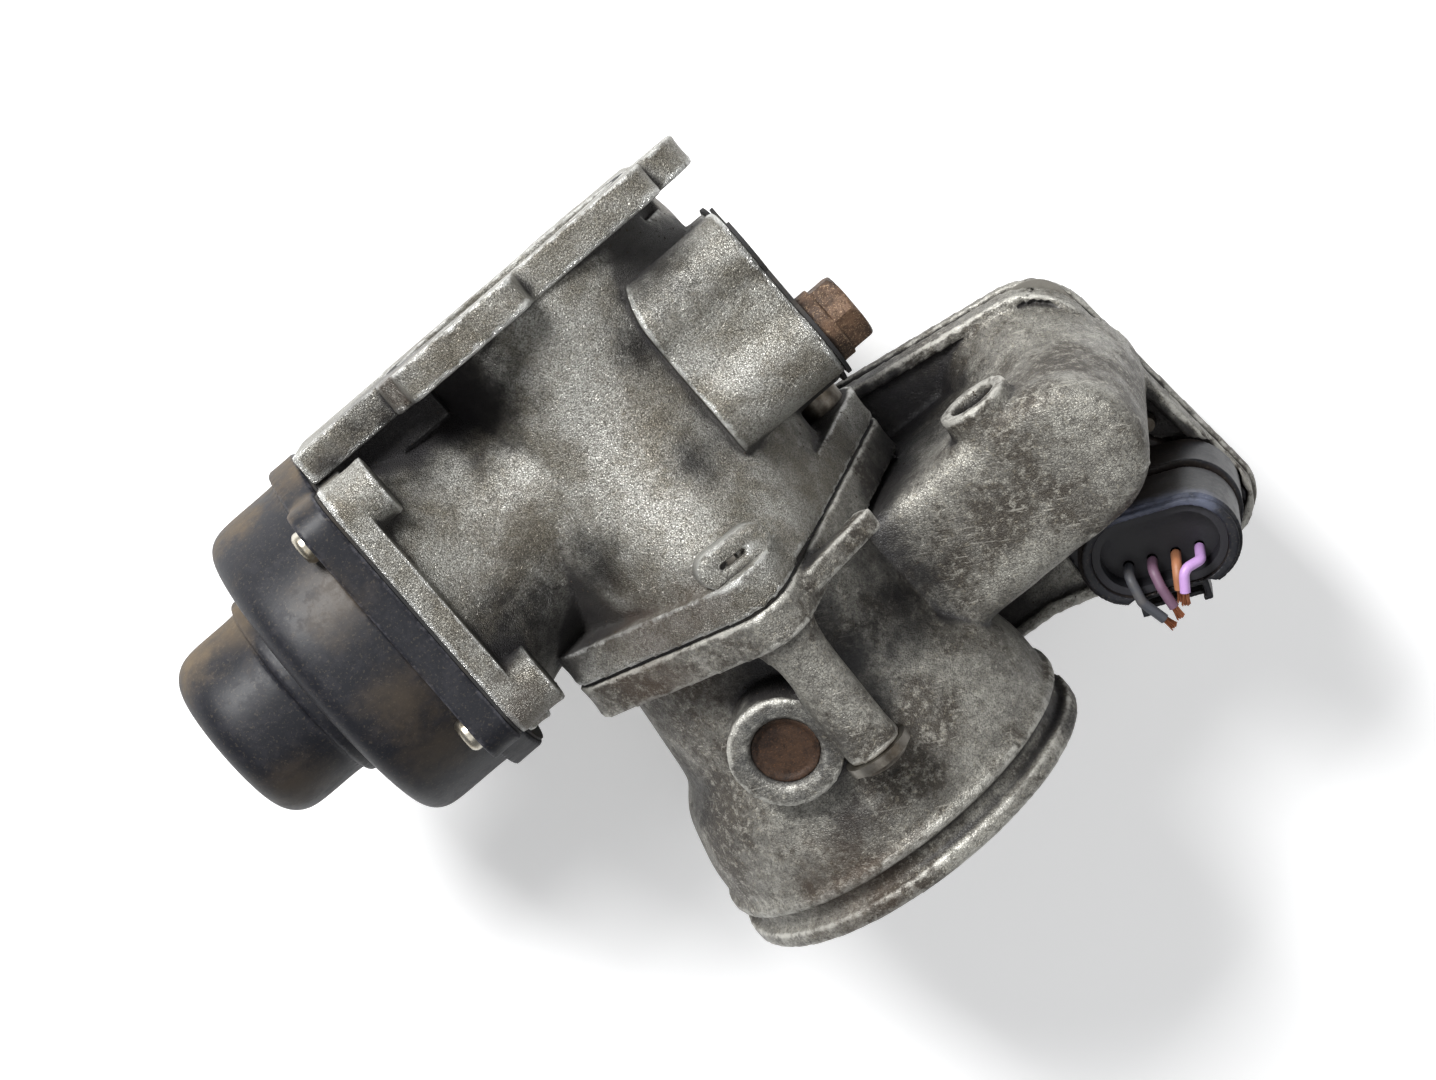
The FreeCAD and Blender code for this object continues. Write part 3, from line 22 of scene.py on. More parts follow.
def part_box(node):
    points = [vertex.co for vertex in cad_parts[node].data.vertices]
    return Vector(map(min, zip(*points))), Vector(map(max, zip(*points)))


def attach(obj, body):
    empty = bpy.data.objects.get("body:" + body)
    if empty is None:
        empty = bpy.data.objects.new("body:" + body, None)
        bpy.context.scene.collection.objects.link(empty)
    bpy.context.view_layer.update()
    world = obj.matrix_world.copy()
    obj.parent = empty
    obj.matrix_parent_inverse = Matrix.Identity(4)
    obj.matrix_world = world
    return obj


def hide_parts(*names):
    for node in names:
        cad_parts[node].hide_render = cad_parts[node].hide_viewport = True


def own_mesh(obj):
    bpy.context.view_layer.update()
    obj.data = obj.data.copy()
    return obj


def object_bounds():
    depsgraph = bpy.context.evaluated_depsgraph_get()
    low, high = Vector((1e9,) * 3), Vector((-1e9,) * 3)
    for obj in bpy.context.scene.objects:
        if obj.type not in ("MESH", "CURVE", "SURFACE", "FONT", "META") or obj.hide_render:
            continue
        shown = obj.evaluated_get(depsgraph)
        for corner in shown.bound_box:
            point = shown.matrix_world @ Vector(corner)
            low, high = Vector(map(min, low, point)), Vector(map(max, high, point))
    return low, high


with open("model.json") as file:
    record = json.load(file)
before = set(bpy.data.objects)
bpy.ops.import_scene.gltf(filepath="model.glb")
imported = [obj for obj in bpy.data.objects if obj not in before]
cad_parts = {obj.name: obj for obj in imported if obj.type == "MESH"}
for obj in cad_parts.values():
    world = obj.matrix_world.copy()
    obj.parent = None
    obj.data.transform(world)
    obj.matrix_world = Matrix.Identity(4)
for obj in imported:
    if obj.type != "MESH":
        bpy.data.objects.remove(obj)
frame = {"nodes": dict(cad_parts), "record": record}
cad_box = [list(corner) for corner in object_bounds()]
MM = 0.001
scene = bpy.context.scene
bodies = frame["record"]["behaviour"]["bodies"]
node_body = {name: body for body, names in bodies.items() for name in names}
node_slot = {part["node"]: part["material_slot"] for part in frame["record"]["subparts"]}

# %% [markdown]
# ## The camera
# The photograph looks down on the valve, tipped a little towards the manifold flange, with a long
# lens from about two thirds of a metre. A camera's matrix holds its right, up and backward
# directions as columns, so the three directions are worked out first and then written in.
# That is easier to check against the photograph than three rotation angles are.

# %% Camera
TIP = math.radians(6.75)
ROLL_COS, ROLL_SIN = 0.760, 0.650
CAMERA_BACK, CAMERA_RIGHT, CAMERA_DOWN = 666.7, 39.7, 49.39  # mm from the flange's centre
towards_camera = Vector((0, math.sin(TIP), math.cos(TIP)))
away_from_flange = Vector((0, math.cos(TIP), -math.sin(TIP)))
image_right = Vector((ROLL_COS, 0, 0)) - ROLL_SIN * away_from_flange
image_up = Vector((ROLL_SIN, 0, 0)) + ROLL_COS * away_from_flange
camera_place = (CAMERA_BACK * towards_camera + CAMERA_RIGHT * image_right
                - CAMERA_DOWN * image_up) * MM

camera_data = bpy.data.cameras.new("camera")
camera_data.sensor_width = 36.0
camera_data.lens = 90.25
camera_data.clip_start = 0.01
camera = bpy.data.objects.new("camera", camera_data)
turn = Matrix((image_right.normalized(), image_up.normalized(), towards_camera)).transposed()
camera.matrix_world = Matrix.Translation(camera_place) @ turn.to_4x4()
scene.collection.objects.link(camera)
scene.camera = camera
print("camera at", [round(c, 3) for c in camera_place])

# %% [markdown]
# ## Floor and light
# The valve lies on a white table. The table's own colour makes the background white, and the world
# is white only to rays that come from the camera, so the pale background adds no light to the
# metal. The table glows a little to those rays too, which keeps it white under a lamp that is low
# enough for the metal, and it still shows the shadow. One soft lamp at the upper left gives that
# shadow its place at the lower right. Two weaker ones open up the dark sides.

# %% Table and lamps
TABLE_SIZE = 6.0
TABLE_GLOW = 0.30
WORLD_LIGHT = 0.20
VALVE_MIDDLE = Vector((0.0, -0.06, -0.01))

table_data = bpy.data.meshes.new("table")
low = cad_box[0][2] - 0.2 * MM
half = TABLE_SIZE / 2
table_corners = [(-half, -half, low), (half, -half, low), (half, half, low), (-half, half, low)]
table_data.from_pydata(table_corners, [], [(0, 1, 2, 3)])
table = bpy.data.objects.new("table", table_data)
scene.collection.objects.link(table)

table_finish = bpy.data.materials.new("table_white")
table_finish.use_nodes = True
table_shader = table_finish.node_tree.nodes["Principled BSDF"]
table_shader.inputs["Base Color"].default_value = (0.93, 0.93, 0.93, 1)
table_shader.inputs["Roughness"].default_value = 0.9
table_shader.inputs["Emission Color"].default_value = (1, 1, 1, 1)
table_nodes = table_finish.node_tree
table_ray = table_nodes.nodes.new("ShaderNodeLightPath")
table_glow = table_nodes.nodes.new("ShaderNodeMath")
table_glow.operation = "MULTIPLY"
table_glow.inputs[1].default_value = TABLE_GLOW
table_nodes.links.new(table_ray.outputs["Is Camera Ray"], table_glow.inputs[0])
table_nodes.links.new(table_glow.outputs[0], table_shader.inputs["Emission Strength"])
table_data.materials.append(table_finish)


def soft_lamp(name, way, distance, size, power):
    """Square lamp that shines at the middle of the valve from a direction."""
    data = bpy.data.lights.new(name, "AREA")
    data.size = size
    data.energy = power
    lamp = bpy.data.objects.new(name, data)
    lamp.location = VALVE_MIDDLE + way.normalized() * distance
    lamp.rotation_euler = way.to_track_quat("Z", "Y").to_euler()
    scene.collection.objects.link(lamp)


key_way = towards_camera * 1.5 + image_up * 0.72 - image_right * 0.92
fill_way = towards_camera * 0.8 + image_right * 1.0 + image_up * 0.2
top_way = towards_camera * 1.0 - image_up * 0.5
soft_lamp("key", key_way, distance=1.05, size=0.36, power=17.0)
soft_lamp("fill", fill_way, distance=1.2, size=0.7, power=2.2)
soft_lamp("top", top_way, distance=1.3, size=0.8, power=2.6)

world = bpy.data.worlds.new("studio")
scene.world = world
world.use_nodes = True
sky = world.node_tree
sky.nodes.clear()
sky_out = sky.nodes.new("ShaderNodeOutputWorld")
sky_light = sky.nodes.new("ShaderNodeBackground")
sky_light.inputs["Color"].default_value = (0.95, 0.97, 1.0, 1)
sky_light.inputs["Strength"].default_value = WORLD_LIGHT
sky_seen = sky.nodes.new("ShaderNodeBackground")
sky_seen.inputs["Color"].default_value = (1, 1, 1, 1)
sky_seen.inputs["Strength"].default_value = 1.0
sky_ray = sky.nodes.new("ShaderNodeLightPath")
sky_mix = sky.nodes.new("ShaderNodeMixShader")
sky.links.new(sky_ray.outputs["Is Camera Ray"], sky_mix.inputs["Fac"])
sky.links.new(sky_light.outputs["Background"], sky_mix.inputs[1])
sky.links.new(sky_seen.outputs["Background"], sky_mix.inputs[2])
sky.links.new(sky_mix.outputs["Shader"], sky_out.inputs["Surface"])
scene.view_settings.view_transform = "Standard"
lamps = [item.name for item in scene.objects if item.type == "LIGHT"]
print("table at z", round(low / MM, 1), "mm, lamps:", lamps)

# %% [markdown]
# ## Soft cast corners
# A solid model has knife edges, and a casting has none. The castings are copied, turned into an
# even net of small squares with the Remesh modifier, and then smoothed: each point moves part of
# the way to the middle of its neighbours. Voxel mode would be simpler, but it leaves stairs along
# every edge that isn't square to the axes, and many here aren't. Sharp mode finds the true edges,
# so one or two smoothing passes are enough to round them like a small fillet. More passes run only
# where the surface is nearly flat, which irons out the facets of curved walls.

# %% Copy, remesh and smooth
WELD_DISTANCE = 0.002 * MM
OCTREE_FILL = 0.98
BEND_KEPT, BEND_RANGE = 0.06, 0.04  # an edge bent more than the first is never ironed out


def merged_copy(node_name, name):
    """Copy of a CAD piece with its loose triangles joined at their corners."""
    net = bmesh.new()
    net.from_mesh(frame["nodes"][node_name].data)
    bmesh.ops.remove_doubles(net, verts=net.verts, dist=WELD_DISTANCE)
    data = bpy.data.meshes.new(name)
    net.to_mesh(data)
    net.free()
    piece = bpy.data.objects.new(name, data)
    scene.collection.objects.link(piece)
    return piece


def made_plain(piece):
    """Applies a piece's modifiers and takes them off."""
    bpy.context.view_layer.update()
    shown = piece.evaluated_get(bpy.context.evaluated_depsgraph_get())
    data = bpy.data.meshes.new_from_object(shown)
    piece.modifiers.clear()
    piece.data = data
    return data


def points_of(data):
    points = np.empty(len(data.vertices) * 3, np.float32)
    data.vertices.foreach_get("co", points)
    return points.reshape(-1, 3).astype(float)


def edges_of(data):
    edges = np.empty(len(data.edges) * 2, np.int32)
    data.edges.foreach_get("vertices", edges)
    return edges.reshape(-1, 2)


def normals_of(data):
    normals = np.empty(len(data.vertices) * 3, np.float32)
    data.vertex_normals.foreach_get("vector", normals)
    return normals.reshape(-1, 3).astype(float)


def neighbour_mean(values, edges):
    """Mean of each point's neighbours, for one column of values or several."""
    a, b = edges[:, 0], edges[:, 1]
    size = len(values)
    count = np.maximum(np.bincount(a, minlength=size) + np.bincount(b, minlength=size), 1)
    columns = values.reshape(size, -1)
    total = [np.bincount(a, c[b], size) + np.bincount(b, c[a], size) for c in columns.T]
    return (np.array(total).T / count[:, None]).reshape(values.shape)


def smoothed(points, edges, passes, share=0.5):
    for _ in range(passes):
        points = points + share * (neighbour_mean(points, edges) - points)
    return points


def soft_copy(node_name, cell, corner_passes, flat_passes):
    """Copy of a CAD piece as a net of cells this wide, with rounded corners and smooth walls."""
    piece = merged_copy(node_name, node_name + "_finished")
    cells_across = max(piece.dimensions) / cell
    remesh = piece.modifiers.new("net", "REMESH")
    remesh.mode = "SHARP"
    remesh.octree_depth = math.ceil(math.log2(cells_across / OCTREE_FILL))
    remesh.scale = cells_across / 2 ** remesh.octree_depth
    remesh.use_remove_disconnected = False
    data = made_plain(piece)
    edges = edges_of(data)
    points = smoothed(points_of(data), edges, corner_passes)
    data.vertices.foreach_set("co", points.astype(np.float32).ravel())
    data.update()
    normals = normals_of(data)
    bend = 1 - np.sum(normals[edges[:, 0]] * normals[edges[:, 1]], axis=1)
    sharpest = np.zeros(len(points))
    np.maximum.at(sharpest, edges[:, 0], bend)
    np.maximum.at(sharpest, edges[:, 1], bend)
    share = 0.5 * np.clip((BEND_KEPT - sharpest) / BEND_RANGE, 0, 1)
    points = smoothed(points, edges, flat_passes, share[:, None])
    data.vertices.foreach_set("co", points.astype(np.float32).ravel())
    data.polygons.foreach_set("use_smooth", np.ones(len(data.polygons), bool))
    data.update()
    print(piece.name, len(data.polygons), "faces")
    return piece


# %% [markdown]
# ## Where dirt and painted shade sit, and where it wears off
# Dirt stays where fingers and water can't reach, and metal shines where things rub. Shade falls in
# the same hollows, so the dark grime laid there is painted shade as well. Both can be measured on
# the finished net and kept on it as attributes, which a material reads by name:
#
# - `ridge` compares each point with a smoother copy of the surface. It is above zero on
#   outer corners and below zero in grooves, in millimetres.
# - `shelter` sends a few rays out from each point and counts what they hit within 30 mm. It is near
#   one deep in a corner and zero on open ground.
#
# The shading node called Ambient Occlusion would do the same while rendering, but an attribute is
# worked out once and gives the same picture each time.

# %% Ridge and shelter attributes
RAY_REACH = 30 * MM
RAY_COUNT = 12
RAY_SEED = 7
RAY_LIFT = 0.9  # mm above the surface, so a ray doesn't hit where it starts
RAY_SPREAD = 0.95
FAR_FADE = 0.6
RIDGE_PASSES, SHELTER_PASSES = 5, 4


def whole_valve_tree():
    """Search tree over every CAD piece at rest, for the rays to hit."""
    corners, faces, start = [], [], 0
    for piece in frame["nodes"].values():
        data = piece.data
        data.calc_loop_triangles()
        triangles = np.empty(len(data.loop_triangles) * 3, np.int32)
        data.loop_triangles.foreach_get("vertices", triangles)
        corners.append(points_of(data))
        faces.append(triangles.reshape(-1, 3) + start)
        start += len(data.vertices)
    return BVHTree.FromPolygons(np.concatenate(corners).tolist(), np.concatenate(faces).tolist())


valve_tree = whole_valve_tree()
ray_source = np.random.default_rng(RAY_SEED)
ray_ways = ray_source.normal(size=(RAY_COUNT, 3))
ray_ways /= np.linalg.norm(ray_ways, axis=1)[:, None]


def shelter_of(points, normals):
    shelter = np.zeros(len(points))
    starts = points + normals * RAY_LIFT * MM
    for way in ray_ways:
        ways = normals + way * RAY_SPREAD
        ways /= np.linalg.norm(ways, axis=1)[:, None]
        for i, (start, direction) in enumerate(zip(starts.tolist(), ways.tolist())):
            distance = valve_tree.ray_cast(start, direction, RAY_REACH)[3]
            if distance is not None:
                shelter[i] += 1 - FAR_FADE * distance / RAY_REACH
    return shelter / RAY_COUNT


def measure_surface(piece, ridge_passes=RIDGE_PASSES):
    """Keeps the ridge and shelter attributes on a finished net."""
    data = piece.data
    points, edges, normals = points_of(data), edges_of(data), normals_of(data)
    ridge = np.sum((points - smoothed(points, edges, ridge_passes)) * normals, axis=1) / MM
    shelter = smoothed(shelter_of(points, normals), edges, SHELTER_PASSES)
    for name, values in (("ridge", ridge), ("shelter", shelter)):
        attribute = data.attributes.new(name, "FLOAT", "POINT")
        attribute.data.foreach_set("value", values.astype(np.float32))
    print(piece.name, "ridge", round(float(ridge.max()), 2), "mm, mean shelter",
          round(float(shelter.mean()), 2))


def stand_in_for(piece, node_name):
    """Rides with the CAD piece's body and stands for it: the CAD piece is hidden."""
    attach(piece, node_body[node_name])
    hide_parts(node_name)


# %% [markdown]
# ## Finding a place by its pixel
# Stains, and also some painted shade and painted highlights, sit at places that are easiest to name
# in the photograph. A ray from the camera through a pixel of the 1436 by 1080 picture meets the
# valve at one point, and from then on the spot belongs to that point of the metal, seen from any
# side.

# %% Photo pixel to a point on the valve
PHOTO_WIDTH, PHOTO_HEIGHT = 1436, 1080
RUSTY_PLUG = (783, 748)


def point_at_pixel(column, row):
    """First point of the valve behind a pixel, and the surface's outward direction there."""
    per_pixel = camera_data.sensor_width / camera_data.lens / PHOTO_WIDTH
    across = (column - PHOTO_WIDTH / 2) * per_pixel
    upward = (PHOTO_HEIGHT / 2 - row) * per_pixel
    way = image_right.normalized() * across + image_up.normalized() * upward - towards_camera
    place, outward = valve_tree.ray_cast(camera_place, way.normalized())[:2]
    return place, outward


def spot_places(spots):
    """Spot centres in metres with their radii, from [(column, row, radius in mm)]."""
    places = [(point_at_pixel(column, row)[0], radius * MM) for column, row, radius in spots]
    return [(place, radius) for place, radius in places if place is not None]


print("the rusty plug is at", [round(c / MM, 1) for c in point_at_pixel(*RUSTY_PLUG)[0]], "mm")

# %% [markdown]
# ## Short ways to write node trees
# A node tree in a script is a long list of new nodes and links. Two helpers keep it readable:
# `add` makes a node, sets its options and either links or sets each input, and `new_group` starts
# a node group with named sockets. A group is a small tree that several materials share, each with
# its own values, so an effect such as grime is drawn once. The short ones after them, such as
# `times`, `noise` and `mixed`, each name one node that comes back often.

# %% Node helpers


def add(tree, kind, inputs=None, **options):
    """New node. An input's value is a number, a colour or another node's output."""
    node = tree.nodes.new(kind)
    for option, value in options.items():
        setattr(node, option, value)
    for name, value in (inputs or {}).items():
        if isinstance(value, bpy.types.NodeSocket):
            tree.links.new(value, node.inputs[name])
        else:
            node.inputs[name].default_value = value
    return node


def new_group(name, inputs, outputs):
    """Shader group with sockets from {name: (type, default)} and {name: type}."""
    tree = bpy.data.node_groups.new(name, "ShaderNodeTree")
    for socket_name, (kind, default) in inputs.items():
        socket = tree.interface.new_socket(socket_name, in_out="INPUT",
                                           socket_type="NodeSocket" + kind)
        socket.default_value = default
    for socket_name, kind in outputs.items():
        tree.interface.new_socket(socket_name, in_out="OUTPUT",
                                  socket_type="NodeSocket" + kind)
    start = tree.nodes.new("NodeGroupInput")
    end = tree.nodes.new("NodeGroupOutput")
    return tree, start.outputs, end.inputs


def math_node(tree, operation, a, b=0.0):
    return add(tree, "ShaderNodeMath", {0: a, 1: b}, operation=operation).outputs[0]


def plus(tree, a, b):
    return math_node(tree, "ADD", a, b)


def minus(tree, a, b):
    return math_node(tree, "SUBTRACT", a, b)


def times(tree, a, b):
    return math_node(tree, "MULTIPLY", a, b)


def vector_math(tree, operation, inputs, output=0):
    """Vector Math node. Output 0 is a vector and output 1 is a number."""
    return add(tree, "ShaderNodeVectorMath", inputs, operation=operation).outputs[output]


def vector_of(tree, x, y, z):
    return add(tree, "ShaderNodeCombineXYZ", {0: x, 1: y, 2: z}).outputs[0]


def noise(tree, place, scale, detail, roughness=0.5):
    return add(tree, "ShaderNodeTexNoise", {"Vector": place, "Scale": scale, "Detail": detail,
                                            "Roughness": roughness}).outputs["Fac"]


def step_between(tree, value, low, high):
    """0 below low, 1 above high and a smooth rise between."""
    node = add(tree, "ShaderNodeMapRange", {"Value": value, "From Min": low, "From Max": high},
               interpolation_type="SMOOTHSTEP")
    return node.outputs["Result"]


def mixed(tree, share, a, b):
    """Colour a where share is 0, and b where it is 1."""
    node = add(tree, "ShaderNodeMix", {"Factor": share, 6: a, 7: b}, data_type="RGBA")
    return node.outputs[2]


def mixed_number(tree, share, a, b):
    node = add(tree, "ShaderNodeMix", {"Factor": share, 2: a, 3: b}, data_type="FLOAT")
    return node.outputs[0]


def colour(red, green, blue):
    """Colour from 0 to 255 as a picture shows it, changed to Blender's linear values."""
    values = [c / 255 for c in (red, green, blue)]
    linear = [v / 12.92 if v <= 0.04045 else ((v + 0.055) / 1.055) ** 2.4 for v in values]
    return tuple(linear) + (1.0,)


# %% [markdown]
# ## Shared surface effects
# Five groups cover the whole valve. Each takes a place on the surface and gives back masks from 0
# to 1 or a height for the Bump node:
#
# - **cast grain**: the crackled skin that sand leaves on aluminium,
# - **grime, painted shade and wear**: noise breaks up `shelter` and `ridge`, so dirt, and the
#   painted shade laid with it in the hollows, has a ragged edge,
# - **mottle**: patches of three sizes, for metal that has been wet, oily and wiped,
# - **scratches**: noise stretched along one direction,
# - **stain**: a ragged round spot at a chosen point, for stains and also for painted shade and a
#   painted highlight.

# %% Cast grain group
ORIGIN = ("Vector", (0, 0, 0))

grain, into, out = new_group(
    "cast_grain",
    {"Place": ORIGIN, "Grain per metre": ("Float", 2200.0), "Crackle": ("Float", 0.5)},
    {"Height": "Float", "Pits": "Float"})
fine = noise(grain, into["Place"], into["Grain per metre"], 3.0, 0.6)
cells = add(grain, "ShaderNodeTexVoronoi",
            {"Vector": into["Place"], "Scale": into["Grain per metre"]},
            feature="DISTANCE_TO_EDGE").outputs["Distance"]
crack = minus(grain, 1.0, step_between(grain, cells, 0.02, 0.22))
height = minus(grain, fine, times(grain, crack, into["Crackle"]))
pits = times(grain, crack, step_between(grain, fine, 0.62, 0.38))
grain.links.new(height, out["Height"])
grain.links.new(pits, out["Pits"])

# %% Grime, painted shade and wear group
grime_shade_wear, into, out = new_group(
    "grime_shade_and_wear",
    {"Place": ORIGIN, "Shelter": ("Float", 0.0), "Ridge": ("Float", 0.0),
     "Grime from": ("Float", 0.25), "Grime full": ("Float", 0.5),
     "Wear from": ("Float", 0.08), "Wear full": ("Float", 0.25)},
    {"Dirt and shade": "Float", "Wear": "Float"})
broad = noise(grime_shade_wear, into["Place"], 160.0, 8.0, 0.68)
swing = times(grime_shade_wear, minus(grime_shade_wear, broad, 0.5), 0.55)
# A groove or a sheltered hollow gets the dark mask, which is grime and painted shade together.
groove = times(grime_shade_wear, into["Ridge"], -0.9)
sheltered = plus(grime_shade_wear, plus(grime_shade_wear, into["Shelter"], swing), groove)
grime_and_shade = step_between(grime_shade_wear, sheltered, into["Grime from"], into["Grime full"])
speckle = noise(grime_shade_wear, into["Place"], 420.0, 6.0, 0.72)
rub = times(grime_shade_wear, into["Ridge"],
            minus(grime_shade_wear, times(grime_shade_wear, speckle, 3.2), 0.75))
wear = step_between(grime_shade_wear, rub, into["Wear from"], into["Wear full"])
grime_shade_wear.links.new(grime_and_shade, out["Dirt and shade"])
grime_shade_wear.links.new(wear, out["Wear"])

# %% Mottle group
mottle, into, out = new_group(
    "mottle",
    {"Place": ORIGIN, "Patches per metre": ("Float", 50.0), "Cover": ("Float", 0.5)},
    {"Patches": "Float", "Blots": "Float", "Specks": "Float"})
large = noise(mottle, into["Place"], into["Patches per metre"], 6.0, 0.66)
middle = noise(mottle, into["Place"], times(mottle, into["Patches per metre"], 6.0), 8.0, 0.75)
small = noise(mottle, into["Place"], times(mottle, into["Patches per metre"], 28.0), 3.0, 0.8)
edge_low = minus(mottle, 0.98, into["Cover"])
patches = step_between(mottle, plus(mottle, large, times(mottle, middle, 0.5)),
                       plus(mottle, edge_low, 0.17), plus(mottle, edge_low, 0.37))
mottle.links.new(patches, out["Patches"])
mottle.links.new(step_between(mottle, middle, 0.47, 0.60), out["Blots"])
mottle.links.new(step_between(mottle, small, 0.56, 0.66), out["Specks"])

# %% Scratch group
scratches, into, out = new_group(
    "scratches",
    {"Place": ORIGIN, "Turn": ("Vector", (0, 0, 0)), "Amount": ("Float", 0.5)},
    {"Scratches": "Float"})
turned = add(scratches, "ShaderNodeMapping",
             {"Vector": into["Place"], "Rotation": into["Turn"]}).outputs[0]
stretched = add(scratches, "ShaderNodeMapping",
                {"Vector": turned, "Scale": (90.0, 2600.0, 900.0)}).outputs[0]
lines = noise(scratches, stretched, 1.0, 2.0, 0.6)
few = noise(scratches, into["Place"], 130.0, 3.0)
strong = times(scratches, step_between(scratches, lines, 0.60, 0.70),
               step_between(scratches, few, 0.42, 0.62))
scratches.links.new(times(scratches, strong, into["Amount"]), out["Scratches"])

# %% Stain, painted shade and painted highlight group
stain_shade_shine, into, out = new_group(
    "stain_shade_shine",
    {"Place": ORIGIN, "Centre": ("Vector", (0, 0, 0)), "Radius": ("Float", 0.01),
     "Ragged": ("Float", 0.6)},
    {"Spot mask": "Float"})
away = vector_math(stain_shade_shine, "DISTANCE", {0: into["Place"], 1: into["Centre"]}, 1)
share_out = math_node(stain_shade_shine, "DIVIDE", away, into["Radius"])
rough_noise = noise(stain_shade_shine, into["Place"], 220.0, 7.0, 0.7)
swing = times(stain_shade_shine, minus(stain_shade_shine, rough_noise, 0.5), times(stain_shade_shine, into["Ragged"], 3.0))
spot = step_between(stain_shade_shine, plus(stain_shade_shine, share_out, swing), 1.25, 0.0)
stain_shade_shine.links.new(spot, out["Spot mask"])
print("groups:", [g.name for g in bpy.data.node_groups])

# %% [markdown]
# ## Starting a material
# Every finish starts the same way: a material with one Principled BSDF, the piece's Object
# coordinates, and the two attributes. Object coordinates belong to the piece, so the pattern stays
# on it when it moves. The class keeps those parts together, and the cells below add what makes
# each finish its own. Its `layer` lays a colour over what is there, where a mask shows it.

# %% Material starter


class Finish:
    """A new material with its shader, its tree and the inputs that most finishes use."""

    def __init__(self, name, roughness=0.5, metallic=0.0):
        self.material = bpy.data.materials.new(name)
        self.material.use_nodes = True
        self.tree = self.material.node_tree
        self.shader = self.tree.nodes["Principled BSDF"]
        self.shader.inputs["Roughness"].default_value = roughness
        self.shader.inputs["Metallic"].default_value = metallic
        self.place = add(self.tree, "ShaderNodeTexCoord").outputs["Object"]

    def attribute(self, name):
        return add(self.tree, "ShaderNodeAttribute", attribute_name=name).outputs["Fac"]

    def group(self, tree, **inputs):
        """Places a shared group. Socket names have spaces where the keywords have underscores."""
        node = self.tree.nodes.new("ShaderNodeGroup")
        node.node_tree = tree
        self.tree.links.new(self.place, node.inputs["Place"])
        for name, value in inputs.items():
            socket = node.inputs[name.replace("_", " ")]
            if isinstance(value, bpy.types.NodeSocket):
                self.tree.links.new(value, socket)
            else:
                socket.default_value = value
        return node.outputs

    def dirt_and_shade(self, grime_shade_from, grime_shade_full, wear_from, wear_full):
        """Grime with painted shade, and wear masks, from the piece's own shelter and ridge."""
        return self.group(grime_shade_wear, Shelter=self.attribute("shelter"),
                          Ridge=self.attribute("ridge"), Grime_from=grime_shade_from,
                          Grime_full=grime_shade_full, Wear_from=wear_from, Wear_full=wear_full)

    def noise(self, scale, detail=4.0, roughness=0.6):
        return noise(self.tree, self.place, scale, detail, roughness)

    def layer(self, body, mask, share, tint):
        """The body with a tint over it, at most this share where the mask is 1."""
        return mixed(self.tree, times(self.tree, mask, share), body, tint)

    def spots(self, body, tint, pixels, share):
        """Stains, painted shade and highlights at (column, row, radius in mm) of the photograph."""
        for centre, radius in spot_places(pixels):
            mask = self.group(stain_shade_shine, Centre=centre, Radius=radius)["Spot mask"]
            body = self.layer(body, mask, share, tint)
        return body

    def feed(self, socket, value):
        self.tree.links.new(value, self.shader.inputs[socket])

    def bump(self, height, distance, strength):
        node = add(self.tree, "ShaderNodeBump",
                   {"Height": height, "Distance": distance, "Strength": strength})
        self.feed("Normal", node.outputs["Normal"])


def dress(piece, finish):
    """Puts one finish on a piece, over whatever slots it came with."""
    data = piece.data
    if data.materials:
        for i in range(len(data.materials)):
            data.materials[i] = finish.material
    else:
        data.materials.append(finish.material)


# %% [markdown]
# ## Pale sand-cast aluminium
# The mixing housing has a grainy, crackled skin. Its open faces are a warm silver, its corners are
# rubbed bright, and its pockets hold black oily dirt and painted shade. The colour is built in
# layers
# from the bottom up, as a painter would: grey metal, brown film, bright wear, black grime and
# painted shade on top. Grime isn't metal, so it also turns the metallic value down.

# %% Housing finish
# Dark spots: oil stains, and painted shade in the deep pockets and valleys. Brown spots are stains.
OIL_AND_SHADE_HOUSING = [(425, 400, 20), (385, 455, 11), (478, 392, 13), (545, 625, 15), (505, 640, 11),
                (600, 565, 8), (655, 265, 10), (640, 345, 7), (695, 460, 6)]
BROWN_HOUSING = [(650, 635, 12), (700, 610, 8), (520, 715, 8), (395, 385, 7)]

housing_finish = Finish("housing_cast")
tree = housing_finish.tree
skin = housing_finish.group(grain, Grain_per_metre=2500.0, Crackle=0.6)
dirt_and_shade = housing_finish.dirt_and_shade(0.24, 0.60, 0.09, 0.26)
film = housing_finish.group(mottle, Patches_per_metre=46.0, Cover=0.42)
cloudy = step_between(tree, housing_finish.noise(85.0, 7.0, 0.7), 0.38, 0.64)
metal = mixed(tree, cloudy, colour(196, 195, 188), colour(146, 142, 131))
metal = housing_finish.layer(metal, film["Patches"], 0.5, colour(108, 99, 84))
fine_specks = step_between(tree, housing_finish.noise(2700.0, 3.0, 0.7), 0.60, 0.40)
metal = housing_finish.layer(metal, fine_specks, 0.50, colour(70, 66, 60))
metal = housing_finish.layer(metal, skin["Pits"], 0.7, colour(48, 43, 37))
metal = housing_finish.layer(metal, film["Specks"], 0.14, colour(150, 138, 104))
metal = housing_finish.layer(metal, dirt_and_shade["Wear"], 0.8, colour(222, 222, 218))
# Black grime in sheltered hollows and grooves, which also paints the shade that falls there.
whole = housing_finish.layer(metal, dirt_and_shade["Dirt and shade"], 0.92, colour(34, 31, 30))
